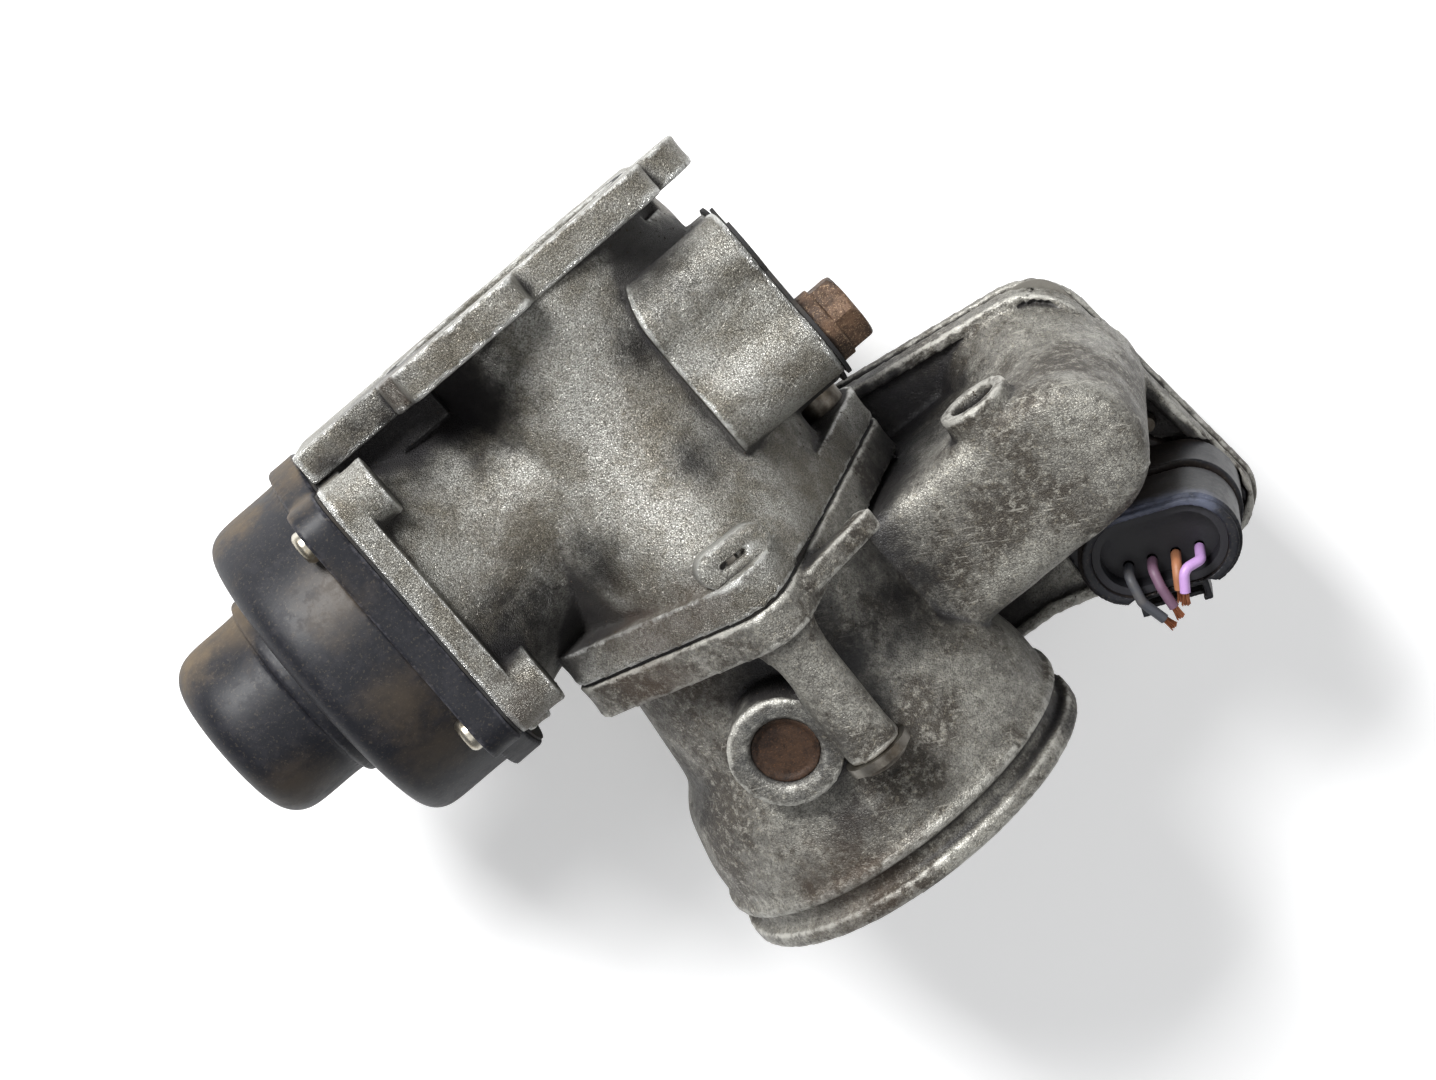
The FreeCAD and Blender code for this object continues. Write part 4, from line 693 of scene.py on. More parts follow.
# Dark oil stains, with painted shade where they sit in deep pockets.
whole = housing_finish.spots(whole, colour(22, 20, 23), OIL_AND_SHADE_HOUSING, 0.82)
whole = housing_finish.spots(whole, colour(76, 60, 48), BROWN_HOUSING, 0.5)
housing_finish.feed("Base Color", whole)
housing_finish.feed("Metallic", mixed_number(tree, dirt_and_shade["Dirt and shade"], 0.62, 0.05))
smoothness = mixed_number(tree, dirt_and_shade["Wear"], 0.40, 0.28)
housing_finish.feed("Roughness", mixed_number(tree, dirt_and_shade["Dirt and shade"], smoothness, 0.58))
housing_finish.bump(skin["Height"], 0.22 * MM, 0.8)

# %% [markdown]
# ## Weathered die-cast aluminium
# The throttle body is older-looking: a brown and grey film with pale flecks where it has flaked,
# and fine scratches on the motor's near face. The mottle group gives the three sizes of patches.

# %% Throttle body finish
# Dark spots: oil stains, and painted shade in the deep pocket beside the seat flange.
OIL_AND_SHADE_BODY = [(905, 440, 19), (895, 395, 11), (880, 560, 13), (905, 620, 12), (860, 655, 8),
             (745, 690, 10), (700, 790, 10), (1060, 715, 7), (850, 820, 8)]
BROWN_BODY = [(660, 690, 13), (850, 890, 14), (1235, 470, 10), (960, 890, 11)]

body_finish = Finish("body_cast")
tree = body_finish.tree
skin = body_finish.group(grain, Grain_per_metre=1900.0, Crackle=0.35)
dirt_and_shade = body_finish.dirt_and_shade(0.28, 0.64, 0.09, 0.28)
film = body_finish.group(mottle, Patches_per_metre=48.0, Cover=0.50)
lines = body_finish.group(scratches, Turn=(0.0, 0.0, 0.5), Amount=0.55)
metal = mixed(tree, film["Patches"], colour(82, 77, 70), colour(160, 158, 150))
flaked = step_between(tree, body_finish.noise(620.0, 9.0, 0.78), 0.50, 0.62)
metal = body_finish.layer(metal, flaked, 0.55, colour(198, 195, 184))
metal = body_finish.layer(metal, film["Blots"], 0.50, colour(56, 51, 48))
metal = body_finish.layer(metal, film["Specks"], 0.35, colour(176, 168, 148))
metal = body_finish.layer(metal, skin["Pits"], 0.6, colour(40, 36, 33))
metal = mixed(tree, lines["Scratches"], metal, colour(196, 192, 182))
metal = body_finish.spots(metal, colour(78, 79, 80), [RUSTY_PLUG + (13.0,)], 0.8)
metal = body_finish.layer(metal, dirt_and_shade["Wear"], 0.75, colour(204, 202, 194))
# Black grime in sheltered hollows and grooves, which also paints the shade that falls there.
whole = body_finish.layer(metal, dirt_and_shade["Dirt and shade"], 0.9, colour(31, 29, 30))
# Dark oil stains, with painted shade where they sit in deep pockets.
whole = body_finish.spots(whole, colour(23, 22, 26), OIL_AND_SHADE_BODY, 0.72)
whole = body_finish.spots(whole, colour(78, 60, 46), BROWN_BODY, 0.45)
body_finish.feed("Base Color", whole)
body_finish.feed("Metallic", mixed_number(tree, dirt_and_shade["Dirt and shade"], 0.50, 0.05))
body_finish.feed("Roughness", mixed_number(tree, film["Patches"], 0.56, 0.40))
body_finish.bump(skin["Height"], 0.2 * MM, 0.7)

# %% Make the castings
CORNER_PASSES, FLAT_PASSES = 2, 24

castings = {}
for node_name, cell, finish in (("mixing_housing", 0.82 * MM, housing_finish),
                                ("throttle_body", 0.92 * MM, body_finish),
                                ("gear_cover", 0.70 * MM, body_finish)):
    casting = soft_copy(node_name, cell, CORNER_PASSES, FLAT_PASSES)
    measure_surface(casting)
    dress(casting, finish)
    stand_in_for(casting, node_name)
    castings[node_name] = casting

# %% [markdown]
# ## Slotted pad on the seat
# A small oval pad with a narrow slot stands on the housing near the seat's corner, over the end of
# the long bolt. It is built from rings of points: every ring is the same oval, at its own width,
# height and place along the pad, and faces join each ring to the next. The last rings go down into
# the slot. Its place comes from two pixels, and the rings start under the casting's skin, so the
# pad grows out of the metal from any side.

# %% Slotted pad
PAD_RING_POINTS = 56
pad_left, outward_left = point_at_pixel(716, 569)
pad_right, outward_right = point_at_pixel(750, 543)
pad_up = (outward_left + outward_right).normalized()
if pad_up.dot(towards_camera) < 0:
    pad_up = -pad_up
pad_along = (pad_right - pad_left).normalized()
pad_side = pad_up.cross(pad_along).normalized()
pad_middle = (pad_left + pad_right) / 2
pad_half = (pad_right - pad_left).length / 2


def pad_ring(radius, height, half_length, shift):
    """One oval ring of the pad, in metres."""
    ring = []
    for k in range(PAD_RING_POINTS):
        angle = 2 * math.pi * k / PAD_RING_POINTS
        end = half_length if math.cos(angle) >= 0 else -half_length
        along = shift + end + radius * math.cos(angle)
        ring.append(pad_middle + pad_along * along + pad_side * radius * math.sin(angle)
                    + pad_up * height)
    return ring


# Each ring's radius and height in mm, its share of the half length, and its shift in mm
pad_sizes = [(3.6, -2.2, 1.0, 0), (3.6, 1.5, 1.0, 0), (3.4, 2.0, 1.0, 0), (2.9, 2.3, 1.0, 0),
             (2.2, 2.4, 1.0, 0), (0.9, 2.43, 0.62, -0.8), (0.62, 2.2, 0.58, -0.8),
             (0.55, 1.1, 0.56, -0.8)]
pad_rings = [pad_ring(radius * MM, height * MM, pad_half * share, shift * MM)
             for radius, height, share, shift in pad_sizes]
pad_points = [point for ring in pad_rings for point in ring]
pad_faces = []
for level in range(len(pad_rings) - 1):
    for k in range(PAD_RING_POINTS):
        a = level * PAD_RING_POINTS + k
        b = level * PAD_RING_POINTS + (k + 1) % PAD_RING_POINTS
        pad_faces.append((a, b, b + PAD_RING_POINTS, a + PAD_RING_POINTS))
pad_faces.append(tuple(range(PAD_RING_POINTS))[::-1])
pad_faces.append(tuple(range((len(pad_rings) - 1) * PAD_RING_POINTS, len(pad_points))))
pad_data = bpy.data.meshes.new("seat_pad_slotted")
pad_data.from_pydata(pad_points, [], pad_faces)
pad_net = bmesh.new()
pad_net.from_mesh(pad_data)
bmesh.ops.recalc_face_normals(pad_net, faces=pad_net.faces)
pad_net.to_mesh(pad_data)
pad_net.free()
pad_data.polygons.foreach_set("use_smooth", np.ones(len(pad_data.polygons), bool))
seat_pad = bpy.data.objects.new("seat_pad_slotted", pad_data)
scene.collection.objects.link(seat_pad)
measure_surface(seat_pad, 2)
dress(seat_pad, housing_finish)
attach(seat_pad, "valve_casing")
print("pad at", [round(c / MM, 1) for c in pad_middle], "mm, half length",
      round(pad_half / MM, 1), "mm")

# %% [markdown]
# ## Black plastic
# The valve's cover, its sensor cap and the connector are satin black plastic. Brown dust lies on
# them in drifts, thickest on the side that faced up in the engine, and pale scuffs run along the
# edges. Dark grime and painted shade fill their sheltered hollows, and a few pale spots on the
# plug's inner rim are a painted highlight. The dust mask is noise plus how far the surface faces
# that way, read from the Normal output of Texture Coordinate, which belongs to the piece and not
# to the camera.

# %% Plastic finish
DUST_FADE = 0.34
DUST_ON_COVER = [(335, 600, 9), (440, 750, 9), (400, 700, 8), (300, 790, 9), (238, 620, 6)]
# Pale blue-grey spots on the plug's inner rim: a painted highlight.
PAINTED_SHINE_ON_PLUG = [(1125, 520, 4.0), (1150, 508, 4.5), (1175, 504, 4.5), (1200, 506, 4.5)]


def plastic_finish(name, base, dusty_way, dust_from, tint, pixels, scuff=0.35, roughness=0.40):
    """Black plastic with brown dust, grime with painted shade, and one tint at chosen pixels."""
    finish = Finish(name)
    finish.shader.inputs["Specular IOR Level"].default_value = 0.34
    tree = finish.tree
    dirt_and_shade = finish.dirt_and_shade(0.35, 0.75, 0.10, 0.30)
    facing = add(tree, "ShaderNodeTexCoord").outputs["Normal"]
    along = vector_math(tree, "DOT_PRODUCT", {0: facing, 1: dusty_way}, 1)
    drift = plus(tree, times(tree, along, 0.35), finish.noise(55.0, 7.0, 0.72))
    dust = step_between(tree, drift, dust_from, dust_from + DUST_FADE)
    film = finish.group(mottle, Patches_per_metre=60.0, Cover=0.4)
    body = finish.layer(base, film["Blots"], 0.35, colour(47, 46, 51))
    body = finish.layer(body, dirt_and_shade["Wear"], scuff, colour(104, 104, 112))
    body = finish.layer(body, dust, 0.62, colour(122, 106, 84))
    # Grime in sheltered hollows, which also paints the shade that falls there.
    body = finish.layer(body, dirt_and_shade["Dirt and shade"], 0.6, colour(46, 38, 32))
    body = finish.layer(body, film["Specks"], 0.10, colour(158, 144, 120))
    # Spots at chosen pixels: dust stains on the cover, a painted highlight on the plug.
    body = finish.spots(body, tint, pixels, 0.6)
    finish.feed("Base Color", body)
    matt = mixed_number(tree, dust, roughness, 0.75)
    finish.feed("Roughness", plus(tree, matt, times(tree, film["Blots"], 0.08)))
    finish.bump(finish.noise(1400.0, 3.0), 0.04 * MM, 0.5)
    return finish


cover_plastic = plastic_finish("cover_black", colour(23, 24, 30), (-0.35, 0.90, -0.25), 0.66,
                               colour(78, 68, 56), DUST_ON_COVER, roughness=0.48)
plug_plastic = plastic_finish("plug_black", colour(24, 25, 30), (0.0, 0.0, 1.0), 0.98,
                              colour(112, 118, 138), PAINTED_SHINE_ON_PLUG, scuff=0.45)

# %% Make the cover, the cap and the connector's shells
for node_name, cell, corner, flat, finish in (
        ("actuator_cover", 0.70 * MM, 3, 36, cover_plastic),
        ("sensor_cap", 0.6 * MM, 3, 40, cover_plastic),
        ("connector_socket", 0.42 * MM, 2, 20, plug_plastic),
        ("harness_plug", 0.38 * MM, 2, 20, plug_plastic),
        ("plug_latch", 0.35 * MM, 1, 6, plug_plastic)):
    shell = soft_copy(node_name, cell, corner, flat)
    measure_surface(shell)
    dress(shell, finish)
    stand_in_for(shell, node_name)

# %% [markdown]
# ## Rusty steel
# The flange bolt in the inlet and the pressed plug in the shaft's boss are plain steel that has
# rusted: dark red-brown with orange bloom and, on the bolt, beige flecks where the rust is dry.
# Rust isn't metal to light, so the metallic value drops where the rust is thick, and its bump is
# coarse.

# %% Rust finish


def rust_finish(name, dark, bloom, fleck, fleck_share, bare):
    """Rust from dark to bloom, with dry flecks and a share of bare metal on the ridges."""
    finish = Finish(name)
    tree = finish.tree
    film = finish.group(mottle, Patches_per_metre=110.0, Cover=0.5)
    dirt_and_shade = finish.dirt_and_shade(0.35, 0.75, 0.06, 0.22)
    body = mixed(tree, film["Patches"], dark, bloom)
    body = finish.layer(body, film["Blots"], 0.55, colour(36, 28, 25))
    body = finish.layer(body, film["Specks"], fleck_share, fleck)
    body = finish.layer(body, dirt_and_shade["Wear"], bare, colour(172, 150, 128))
    # Grime in sheltered hollows, which also paints the shade that falls there.
    body = finish.layer(body, dirt_and_shade["Dirt and shade"], 0.8, colour(30, 25, 22))
    finish.feed("Base Color", body)
    finish.shader.inputs["Specular IOR Level"].default_value = 0.3
    finish.feed("Metallic", mixed_number(tree, film["Patches"], 0.35, 0.1))
    finish.feed("Roughness", mixed_number(tree, film["Blots"], 0.52, 0.78))
    finish.bump(finish.noise(900.0, 5.0, 0.7), 0.3 * MM, 0.7)
    return finish


bolt_rust = rust_finish("bolt_rust", colour(66, 52, 43), colour(104, 80, 62),
                        colour(190, 162, 130), fleck_share=0.6, bare=0.4)
plug_rust = rust_finish("plug_rust", colour(37, 29, 25), colour(66, 48, 36),
                        colour(116, 80, 54), fleck_share=0.45, bare=0.12)

# %% Make the bolt and the shaft's plug
for node_name, cell, finish in (("inlet_bolt", 0.33 * MM, bolt_rust),
                                ("core_plug", 0.35 * MM, plug_rust)):
    piece = soft_copy(node_name, cell, 1, 10)
    measure_surface(piece)
    dress(piece, finish)
    stand_in_for(piece, node_name)

# %% [markdown]
# ## Finishes for the plain pieces
# Most of the remaining pieces are hidden or small and keep their CAD meshes. Each record slot gets
# one finish with its own pattern: drawn or turned steel, sintered bronze, copper winding, moulded
# gear plastic, rubber, gasket sheet and wire sheath.

# %% Turned metal, rubber and moulded plastic


def metal_finish(name, light, dark, roughness, turned=(40.0, 40.0, 1500.0)):
    """Bare metal with fine tool lines along one direction."""
    finish = Finish(name, metallic=1.0)
    tree = finish.tree
    stretched = add(tree, "ShaderNodeMapping",
                    {"Vector": finish.place, "Scale": turned}).outputs[0]
    lines = noise(tree, stretched, 1.0, 3.0)
    film = finish.noise(120.0, 6.0, 0.7)
    body = mixed(tree, step_between(tree, film, 0.40, 0.66), light, dark)
    finish.feed("Base Color", finish.layer(body, lines, 0.3, dark))
    finish.feed("Roughness", mixed_number(tree, lines, roughness - 0.08, roughness + 0.10))
    finish.bump(lines, 0.02 * MM, 0.4)
    return finish


def matt_finish(name, base, dirt_colour, roughness, grain_size=900.0, dirt_share=0.4):
    """Rubber, gasket sheet or moulded plastic with a light film of dirt."""
    finish = Finish(name)
    tree = finish.tree
    film = finish.group(mottle, Patches_per_metre=90.0, Cover=0.42)
    body = finish.layer(base, film["Patches"], dirt_share, dirt_colour)
    finish.feed("Base Color", finish.layer(body, film["Specks"], 0.15, dirt_colour))
    finish.feed("Roughness", mixed_number(tree, film["Patches"], roughness, roughness + 0.15))
    finish.bump(finish.noise(grain_size, 3.0), 0.05 * MM, 0.5)
    return finish


slot_finish = {
    "cast_housing": housing_finish,
    "cast_body": body_finish,
    "black_plastic": matt_finish("moulded_black", colour(40, 41, 48), colour(88, 80, 68), 0.42),
    "rubber": matt_finish("rubber_black", colour(24, 24, 25), colour(66, 58, 48), 0.7),
    "sheet_gasket": matt_finish("gasket_sheet", colour(30, 29, 30), colour(78, 72, 64), 0.75,
                                1500.0),
    "steel": metal_finish("dull_steel", colour(150, 146, 138), colour(92, 84, 74), 0.42),
    "rusty_steel": bolt_rust,
    "turned_steel": metal_finish("turned_steel", colour(205, 204, 200), colour(160, 156, 150),
                                 0.28),
    "bronze": metal_finish("sintered_bronze", colour(190, 150, 96), colour(132, 96, 56), 0.42),
    "copper": metal_finish("copper_winding", colour(186, 122, 88), colour(116, 72, 52), 0.35,
                           (40.0, 900.0, 40.0)),
    "gear_plastic": matt_finish("gear_plastic", colour(214, 208, 188), colour(150, 136, 108), 0.45),
    "plug_light": matt_finish("plug_seal", colour(30, 29, 34), colour(60, 60, 66), 0.5),
    "grey_wire": matt_finish("sheath_grey", colour(66, 68, 74), colour(92, 86, 80), 0.5),
    "mauve_wire": matt_finish("sheath_mauve", colour(112, 84, 104), colour(70, 56, 58), 0.5),
    "orange_wire": matt_finish("sheath_orange", colour(166, 112, 80), colour(96, 66, 50), 0.5),
    "violet_wire": matt_finish("sheath_violet", colour(192, 152, 208), colour(128, 100, 136),
                               0.42, dirt_share=0.2),
}
for node_name, piece in frame["nodes"].items():
    dress(piece, slot_finish[node_slot[node_name]])
gasket_dusty = matt_finish("gasket_dusty", colour(116, 113, 106), colour(70, 64, 58), 0.7)
dress(frame["nodes"]["case_gasket"], gasket_dusty)
print("finished", len(frame["nodes"]), "CAD pieces with", len(slot_finish), "finishes")

# %% [markdown]
# ## Pieces grown by Geometry Nodes
# The wires, the copper strands in their ends, the four screws, the valve's spring and the crumbs
# of grit all repeat, or follow a line or a surface. A tree describes such a piece once, and its
# named inputs hold the sizes. It is built like a material: nodes, links, and an interface with
# sockets. Its modifier stores a value under each socket's identifier, not under its name, so the
# helper looks the identifier up. Each tree ends in Realize Instances, which turns copies into real
# mesh, and Set Material, and then the result is kept as a plain mesh.

# %% Geometry Nodes helpers


def growing_tree(name, inputs):
    """Geometry tree with named inputs from {name: (type, default)}."""
    tree = bpy.data.node_groups.new(name, "GeometryNodeTree")
    tree.is_modifier = True
    tree.interface.new_socket("Geometry", in_out="INPUT", socket_type="NodeSocketGeometry")
    for socket_name, (kind, default) in inputs.items():
        socket = tree.interface.new_socket(socket_name, in_out="INPUT",
                                           socket_type="NodeSocket" + kind)
        if default is not None:
            socket.default_value = default
    tree.interface.new_socket("Geometry", in_out="OUTPUT", socket_type="NodeSocketGeometry")
    start = tree.nodes.new("NodeGroupInput")
    end = tree.nodes.new("NodeGroupOutput")
    return tree, start.outputs, end.inputs[0]


def finish_tree(tree, geometry, finish_socket, end):
    """Real mesh, smooth shading and one material at the end of every tree."""
    real = add(tree, "GeometryNodeRealizeInstances", {"Geometry": geometry}).outputs[0]
    smooth = add(tree, "GeometryNodeSetShadeSmooth", {"Geometry": real}).outputs[0]
    named = add(tree, "GeometryNodeSetMaterial",
                {"Geometry": smooth, "Material": finish_socket}).outputs[0]
    tree.links.new(named, end)


def tube(tree, line, sides, radius):
    """Round tube with closed ends along a curve."""
    profile = add(tree, "GeometryNodeCurvePrimitiveCircle",
                  {"Resolution": sides, "Radius": radius}).outputs[0]
    return add(tree, "GeometryNodeCurveToMesh",
               {"Curve": line, "Profile Curve": profile, "Fill Caps": True}).outputs[0]


def set_on_points(tree, points, instance, outward):
    """One copy of a shape on each point, with its Z axis outward."""
    turned = add(tree, "FunctionNodeAlignEulerToVector", {"Vector": outward}, axis="Z").outputs[0]
    return add(tree, "GeometryNodeInstanceOnPoints",
               {"Points": points, "Instance": instance, "Rotation": turned}).outputs[0]


def grow(name, tree, points, edges, values):
    """Runs a tree on a mesh of points and edges, in millimetres, and keeps the plain mesh."""
    data = bpy.data.meshes.new(name)
    data.from_pydata([Vector(p) * MM for p in points], edges, [])
    piece = bpy.data.objects.new(name, data)
    scene.collection.objects.link(piece)
    return grow_on(piece, tree, values)


def grow_on(piece, tree, values):
    """Runs a tree on a piece's own mesh."""
    modifier = piece.modifiers.new("grown", "NODES")
    modifier.node_group = tree
    for item in tree.interface.items_tree:
        if item.in_out == "INPUT" and item.name in values:
            modifier[item.identifier] = values[item.name]
    data = made_plain(piece)
    print(piece.name, len(data.polygons), "faces")
    return piece


# %% [markdown]
# ## Cut wires
# Four wires leave the plug and were cut off a few millimetres on. Each follows a line of four
# points. Fillet Curve rounds the corners of that line as a wire bends, and Curve to Mesh draws the
# sheath along it. The same points were used for the solid wires, so the new ones lie where they
# did.

# %% Wires
WIRE_RADIUS, WIRE_BEND, WIRE_SIDES = 1.0, 1.9, 20
wire_lines = {
    "wire_grey": [(53.488, -118.123, 2.409), (51.978, -118.681, 7.143),
                  (50.806, -123.812, 7.644), (52.070, -129.057, 7.218)],
    "wire_mauve": [(57.604, -119.852, 3.518), (56.155, -120.387, 8.063),
                   (55.216, -123.713, 8.851), (54.782, -128.234, 8.391)],
    "wire_orange": [(61.720, -121.581, 4.627), (60.271, -122.116, 9.172),
                    (58.893, -123.940, 9.785), (57.679, -126.181, 9.134)],
    "wire_violet": [(65.836, -123.310, 5.736), (63.964, -124.001, 11.606),
                    (60.197, -122.991, 13.059), (57.795, -126.685, 12.069)],
}
tree, into, end = growing_tree("bent_wire", {
    "Radius": ("Float", 0.001), "Bend radius": ("Float", 0.002), "Sides": ("Int", 20),
    "Finish": ("Material", None)})
line = add(tree, "GeometryNodeMeshToCurve", {"Mesh": into["Geometry"]}).outputs[0]
bent = add(tree, "GeometryNodeFilletCurve",
           {"Curve": line, "Count": 10, "Radius": into["Bend radius"], "Limit Radius": True},
           mode="POLY").outputs[0]
sheath = tube(tree, bent, into["Sides"], into["Radius"])
finish_tree(tree, sheath, into["Finish"], end)

for node_name, line_points in wire_lines.items():
    wire = grow(node_name + "_grown", tree, line_points, [(0, 1), (1, 2), (2, 3)],
                {"Radius": WIRE_RADIUS * MM, "Bend radius": WIRE_BEND * MM, "Sides": WIRE_SIDES,
                 "Finish": slot_finish[node_slot[node_name]].material})
    stand_in_for(wire, node_name)

# %% [markdown]
# ## Copper strands
# A cut wire shows a bundle of fine strands that have spread a little. Duplicate Elements copies
# one short line per wire, and each copy moves out by its own number: the golden angle of 137.5
# degrees times the number, and a radius by its square root, the way seeds fill a sunflower. The
# spread grows towards the tip.

# %% Strands
GOLDEN_ANGLE = 2.39996
STRAND_COUNT, STRAND_SEED = 19, 3
BUNDLE_RADIUS, STRAND_RADIUS, STRAND_LENGTH, STRAND_INSET = 0.60, 0.12, 2.4, 0.6

tree, into, end = growing_tree("strand_bundle", {
    "Strands": ("Int", 19), "Bundle radius": ("Float", 0.0006),
    "Strand radius": ("Float", 0.00012), "Fray": ("Float", 0.5), "Seed": ("Int", 3),
    "Finish": ("Material", None)})
line = add(tree, "GeometryNodeMeshToCurve", {"Mesh": into["Geometry"]}).outputs[0]
line = add(tree, "GeometryNodeResampleCurve", {"Curve": line, "Count": 6}).outputs[0]
copies = add(tree, "GeometryNodeDuplicateElements",
             {"Geometry": line, "Amount": into["Strands"]}, domain="SPLINE")
number = copies.outputs["Duplicate Index"]
angle = times(tree, number, GOLDEN_ANGLE)
filled = math_node(tree, "DIVIDE", plus(tree, number, 0.4), into["Strands"])
reach = times(tree, math_node(tree, "SQRT", filled), into["Bundle radius"])
along = add(tree, "GeometryNodeSplineParameter").outputs["Factor"]
chance = add(tree, "FunctionNodeRandomValue",
             {2: 0.0, 3: 1.0, "ID": number, "Seed": into["Seed"]}, data_type="FLOAT").outputs[1]
fray = times(tree, times(tree, times(tree, along, along), chance), into["Fray"])
reach = times(tree, reach, plus(tree, fray, 1.0))
side = add(tree, "GeometryNodeInputNormal").outputs[0]
tangent = add(tree, "GeometryNodeInputTangent").outputs[0]
other_side = vector_math(tree, "CROSS_PRODUCT", {0: tangent, 1: side})
reach_a = times(tree, reach, math_node(tree, "COSINE", angle))
part_a = vector_math(tree, "SCALE", {0: side, "Scale": reach_a})
reach_b = times(tree, reach, math_node(tree, "SINE", angle))
part_b = vector_math(tree, "SCALE", {0: other_side, "Scale": reach_b})
shift = vector_math(tree, "ADD", {0: part_a, 1: part_b})
placed = add(tree, "GeometryNodeSetPosition",
             {"Geometry": copies.outputs["Geometry"], "Offset": shift}).outputs[0]
strands = tube(tree, placed, 7, into["Strand radius"])
finish_tree(tree, strands, into["Finish"], end)

strand_points, strand_edges = [], []
for line_points in wire_lines.values():
    tip = Vector(line_points[-1])
    way = (tip - Vector(line_points[-2])).normalized()
    first = len(strand_points)
    strand_points += [tip - way * STRAND_INSET, tip + way * STRAND_LENGTH]
    strand_edges.append((first, first + 1))
strand_piece = grow("wire_strands_grown", tree, strand_points, strand_edges,
                    {"Strands": STRAND_COUNT, "Bundle radius": BUNDLE_RADIUS * MM,
                     "Strand radius": STRAND_RADIUS * MM, "Fray": 1.1, "Seed": STRAND_SEED,
                     "Finish": slot_finish["copper"].material})
stand_in_for(strand_piece, "wire_strands")

# %% [markdown]
# ## Screws of the black cover
# Four identical pan-head screws hold the cover. The tree makes one head from a Cylinder: the rings
# near its top are drawn in to round the shoulder, and those inside the drive hole are pushed down.
# Instance on Points sets a copy on each of the four points, turned to face out of the cover.

# %% Cover screws
HEAD_RADIUS, HEAD_HEIGHT = 3.3, 2.0
DRIVE_RADIUS, DRIVE_DEPTH, SHANK_RADIUS = 1.6, 1.0, 2.0
SHOULDER_FROM, SHOULDER_ROUND, TOP_FROM = 0.45, 0.75, 0.95

tree, into, end = growing_tree("pan_head_screw", {
    "Head radius": ("Float", 0.0033), "Head height": ("Float", 0.002),
    "Drive radius": ("Float", 0.0016), "Drive depth": ("Float", 0.001),
    "Shank radius": ("Float", 0.002), "Shank length": ("Float", 0.01),
    "Outward": ("Vector", (-1, 0, 0)), "Finish": ("Material", None)})
half_height = times(tree, into["Head height"], 0.5)
head = add(tree, "GeometryNodeMeshCylinder",
           {"Vertices": 40, "Side Segments": 8, "Fill Segments": 9,
            "Radius": into["Head radius"], "Depth": into["Head height"]}).outputs[0]
place = add(tree, "GeometryNodeInputPosition").outputs[0]
split = add(tree, "ShaderNodeSeparateXYZ", {0: place}).outputs
high = plus(tree, math_node(tree, "DIVIDE", split["Z"], into["Head height"]), 0.5)
above = math_node(tree, "MAXIMUM", minus(tree, high, SHOULDER_FROM), 0.0)
draw_in = minus(tree, 1.0, times(tree, times(tree, above, above), SHOULDER_ROUND))
squeeze = vector_of(tree, draw_in, draw_in, 1.0)
rounded_place = vector_math(tree, "MULTIPLY", {0: place, 1: squeeze})
flat_place = vector_of(tree, split["X"], split["Y"], 0.0)
from_axis = vector_math(tree, "LENGTH", {0: flat_place}, 1)
inside = math_node(tree, "LESS_THAN", from_axis, into["Drive radius"])
at_top = math_node(tree, "GREATER_THAN", high, TOP_FROM)
sink = times(tree, times(tree, inside, at_top), times(tree, into["Drive depth"], -1.0))
drop = vector_of(tree, 0.0, 0.0, plus(tree, sink, half_height))
head = add(tree, "GeometryNodeSetPosition",
           {"Geometry": head, "Position": rounded_place, "Offset": drop}).outputs[0]
shank = add(tree, "GeometryNodeMeshCylinder",
            {"Vertices": 24, "Radius": into["Shank radius"],
             "Depth": into["Shank length"]}).outputs[0]
shank_low = vector_of(tree, 0.0, 0.0, times(tree, into["Shank length"], -0.5))
shank = add(tree, "GeometryNodeTransform",
            {"Geometry": shank, "Translation": shank_low}).outputs[0]
join = tree.nodes.new("GeometryNodeJoinGeometry")
tree.links.new(shank, join.inputs[0])
tree.links.new(head, join.inputs[0])
screws = set_on_points(tree, into["Geometry"], join.outputs[0], into["Outward"])
finish_tree(tree, screws, into["Finish"], end)

screw_low, screw_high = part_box("actuator_screws")
shank_length = screw_high[0] / MM - screw_low[0] / MM - HEAD_HEIGHT
seat_x = screw_low[0] / MM + HEAD_HEIGHT
screw_ys = (screw_low[1] / MM + HEAD_RADIUS, screw_high[1] / MM - HEAD_RADIUS)
screw_zs = (screw_low[2] / MM + HEAD_RADIUS, screw_high[2] / MM - HEAD_RADIUS)
screw_points = [(seat_x, y, z) for y in screw_ys for z in screw_zs]
screw_steel = metal_finish("screw_zinc", colour(214, 210, 198), colour(150, 138, 116), 0.30,
                           (900.0, 60.0, 60.0))
screw_piece = grow("actuator_screws_grown", tree, screw_points, [],
                   {"Head radius": HEAD_RADIUS * MM, "Head height": HEAD_HEIGHT * MM,
                    "Drive radius": DRIVE_RADIUS * MM, "Drive depth": DRIVE_DEPTH * MM,
                    "Shank radius": SHANK_RADIUS * MM, "Shank length": shank_length * MM,
                    "Outward": (-1.0, 0.0, 0.0), "Finish": screw_steel.material})
stand_in_for(screw_piece, "actuator_screws")

# %% [markdown]
# ## The valve's spring
# The spring pushes the gas valve shut, and it shortens when the valve opens. The tree draws a
# Spiral curve, gives it a round wire and stands it on its fixed end.

# %% Valve spring
SPRING_TURNS, SPRING_RADIUS, SPRING_WIRE = 3.0, 8.0, 0.9

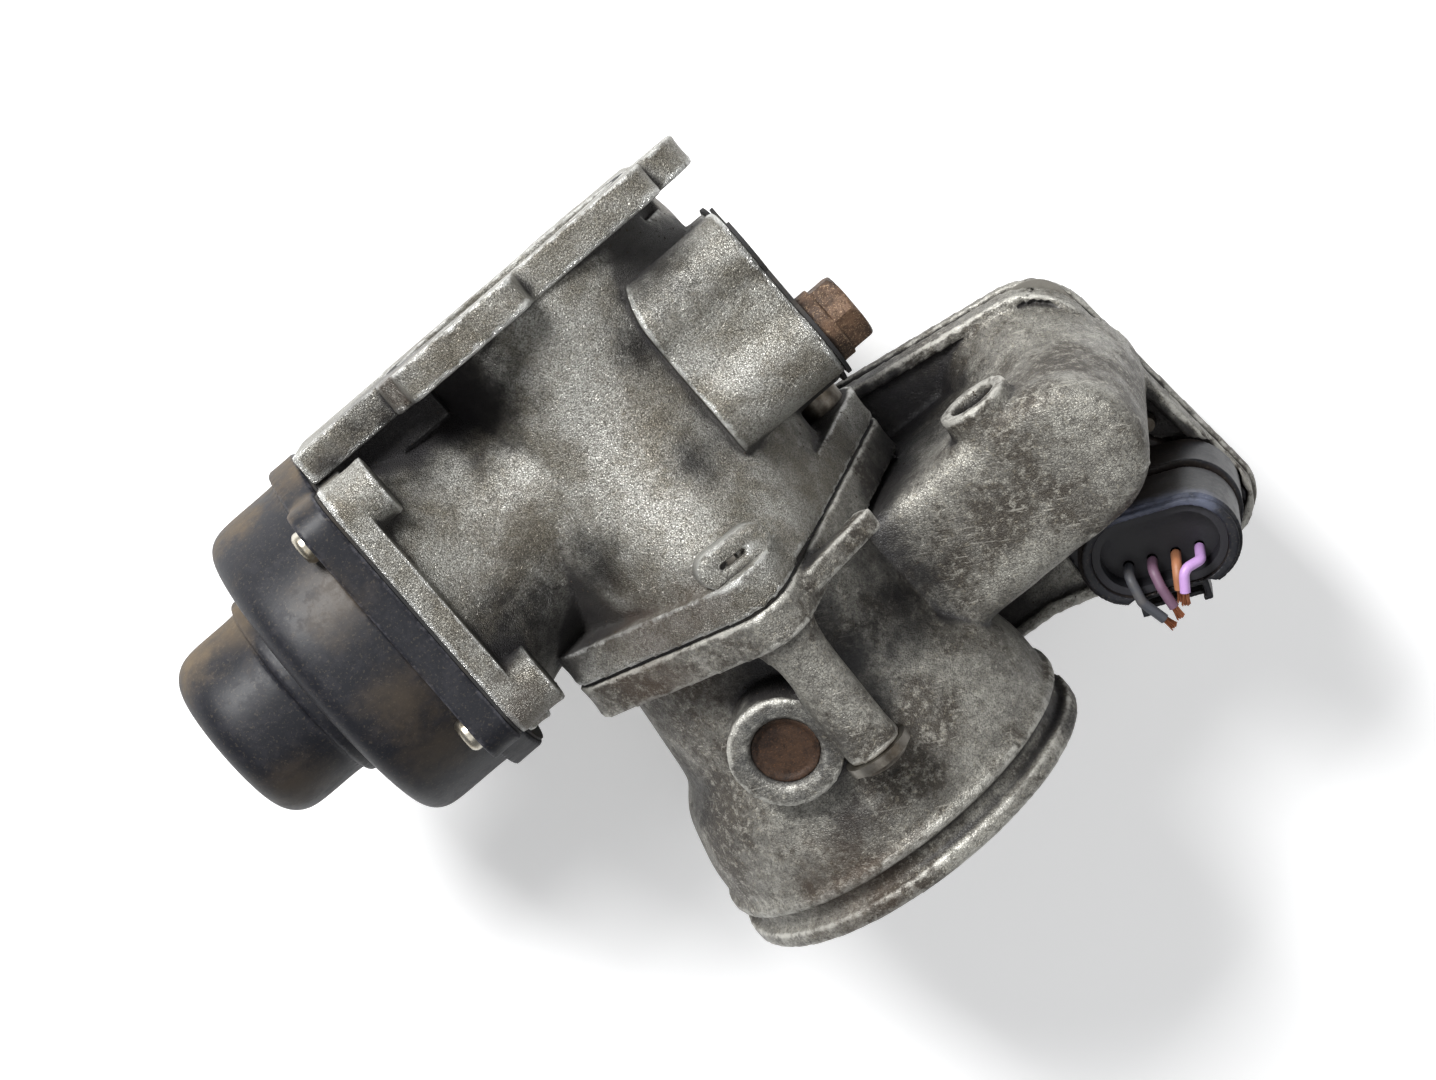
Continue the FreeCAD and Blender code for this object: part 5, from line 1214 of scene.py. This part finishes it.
tree, into, end = growing_tree("coil_spring", {
    "Turns": ("Float", 3.0), "Mean radius": ("Float", 0.008), "Wire radius": ("Float", 0.0009),
    "Length": ("Float", 0.0126), "Outward": ("Vector", (-1, 0, 0)),
    "Finish": ("Material", None)})
rise = minus(tree, into["Length"], times(tree, into["Wire radius"], 2.0))
spiral = add(tree, "GeometryNodeCurveSpiral",
             {"Resolution": 36, "Rotations": into["Turns"], "Height": rise,
              "Start Radius": into["Mean radius"],
              "End Radius": into["Mean radius"]}).outputs[0]
coil = tube(tree, spiral, 16, into["Wire radius"])
lifted = vector_of(tree, 0.0, 0.0, into["Wire radius"])
coil = add(tree, "GeometryNodeTransform",
           {"Geometry": coil, "Translation": lifted}).outputs[0]
springs = set_on_points(tree, into["Geometry"], coil, into["Outward"])
finish_tree(tree, springs, into["Finish"], end)

spring_low, spring_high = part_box("valve_spring")
spring_length = spring_high[0] - spring_low[0]
spring_foot = (spring_high[0], (spring_low[1] + spring_high[1]) / 2,
               (spring_low[2] + spring_high[2]) / 2)
spring_piece = grow("valve_spring_grown", tree, [Vector(spring_foot) / MM], [],
                    {"Turns": SPRING_TURNS, "Mean radius": SPRING_RADIUS * MM,
                     "Wire radius": SPRING_WIRE * MM, "Length": spring_length,
                     "Outward": (-1.0, 0.0, 0.0),
                     "Finish": slot_finish[node_slot["valve_spring"]].material})
stand_in_for(spring_piece, "valve_spring")
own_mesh(spring_piece)

# %% [markdown]
# ## Grit in the corners
# Road dirt gathers in the sheltered corners as small crumbs. Distribute Points on Faces scatters
# points over the two largest castings with a density that follows their `shelter` attribute, so
# the crumbs keep to the corners by themselves. Each point gets a squashed 20-sided ball, turned and
# sized at random. The seed is fixed, so every run gives the same crumbs.

# %% Grit
GRIT_PER_SQUARE_METRE, GRIT_RADIUS, GRIT_SEED = 60000.0, 0.20, 11

tree, into, end = growing_tree("grit", {
    "Per square metre": ("Float", 80000.0), "Crumb radius": ("Float", 0.00022),
    "Seed": ("Int", 11), "Finish": ("Material", None)})
hidden = add(tree, "GeometryNodeInputNamedAttribute", {"Name": "shelter"},
             data_type="FLOAT").outputs[0]
corner_share = step_between(tree, hidden, 0.28, 0.62)
density = times(tree, corner_share, into["Per square metre"])
scatter = add(tree, "GeometryNodeDistributePointsOnFaces",
              {"Mesh": into["Geometry"], "Density": density, "Seed": into["Seed"]},
              distribute_method="RANDOM").outputs
crumb = add(tree, "GeometryNodeMeshIcoSphere",
            {"Radius": into["Crumb radius"], "Subdivisions": 1}).outputs[0]
size = add(tree, "FunctionNodeRandomValue",
           {0: (0.4, 0.4, 0.3), 1: (1.5, 1.3, 0.8), "Seed": into["Seed"]},
           data_type="FLOAT_VECTOR").outputs[0]
crumbs = add(tree, "GeometryNodeInstanceOnPoints",
             {"Points": scatter["Points"], "Instance": crumb,
              "Rotation": scatter["Rotation"], "Scale": size}).outputs[0]
finish_tree(tree, crumbs, into["Finish"], end)

grit_finish = matt_finish("grit_dark", colour(52, 45, 38), colour(96, 82, 64), 0.8, 3000.0)
for node_name in ("mixing_housing", "throttle_body"):
    casting = castings[node_name]
    grit = bpy.data.objects.new(node_name + "_grit", casting.data.copy())
    scene.collection.objects.link(grit)
    grow_on(grit, tree, {"Per square metre": GRIT_PER_SQUARE_METRE,
                         "Crumb radius": GRIT_RADIUS * MM, "Seed": GRIT_SEED,
                         "Finish": grit_finish.material})
    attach(grit, node_body[node_name])
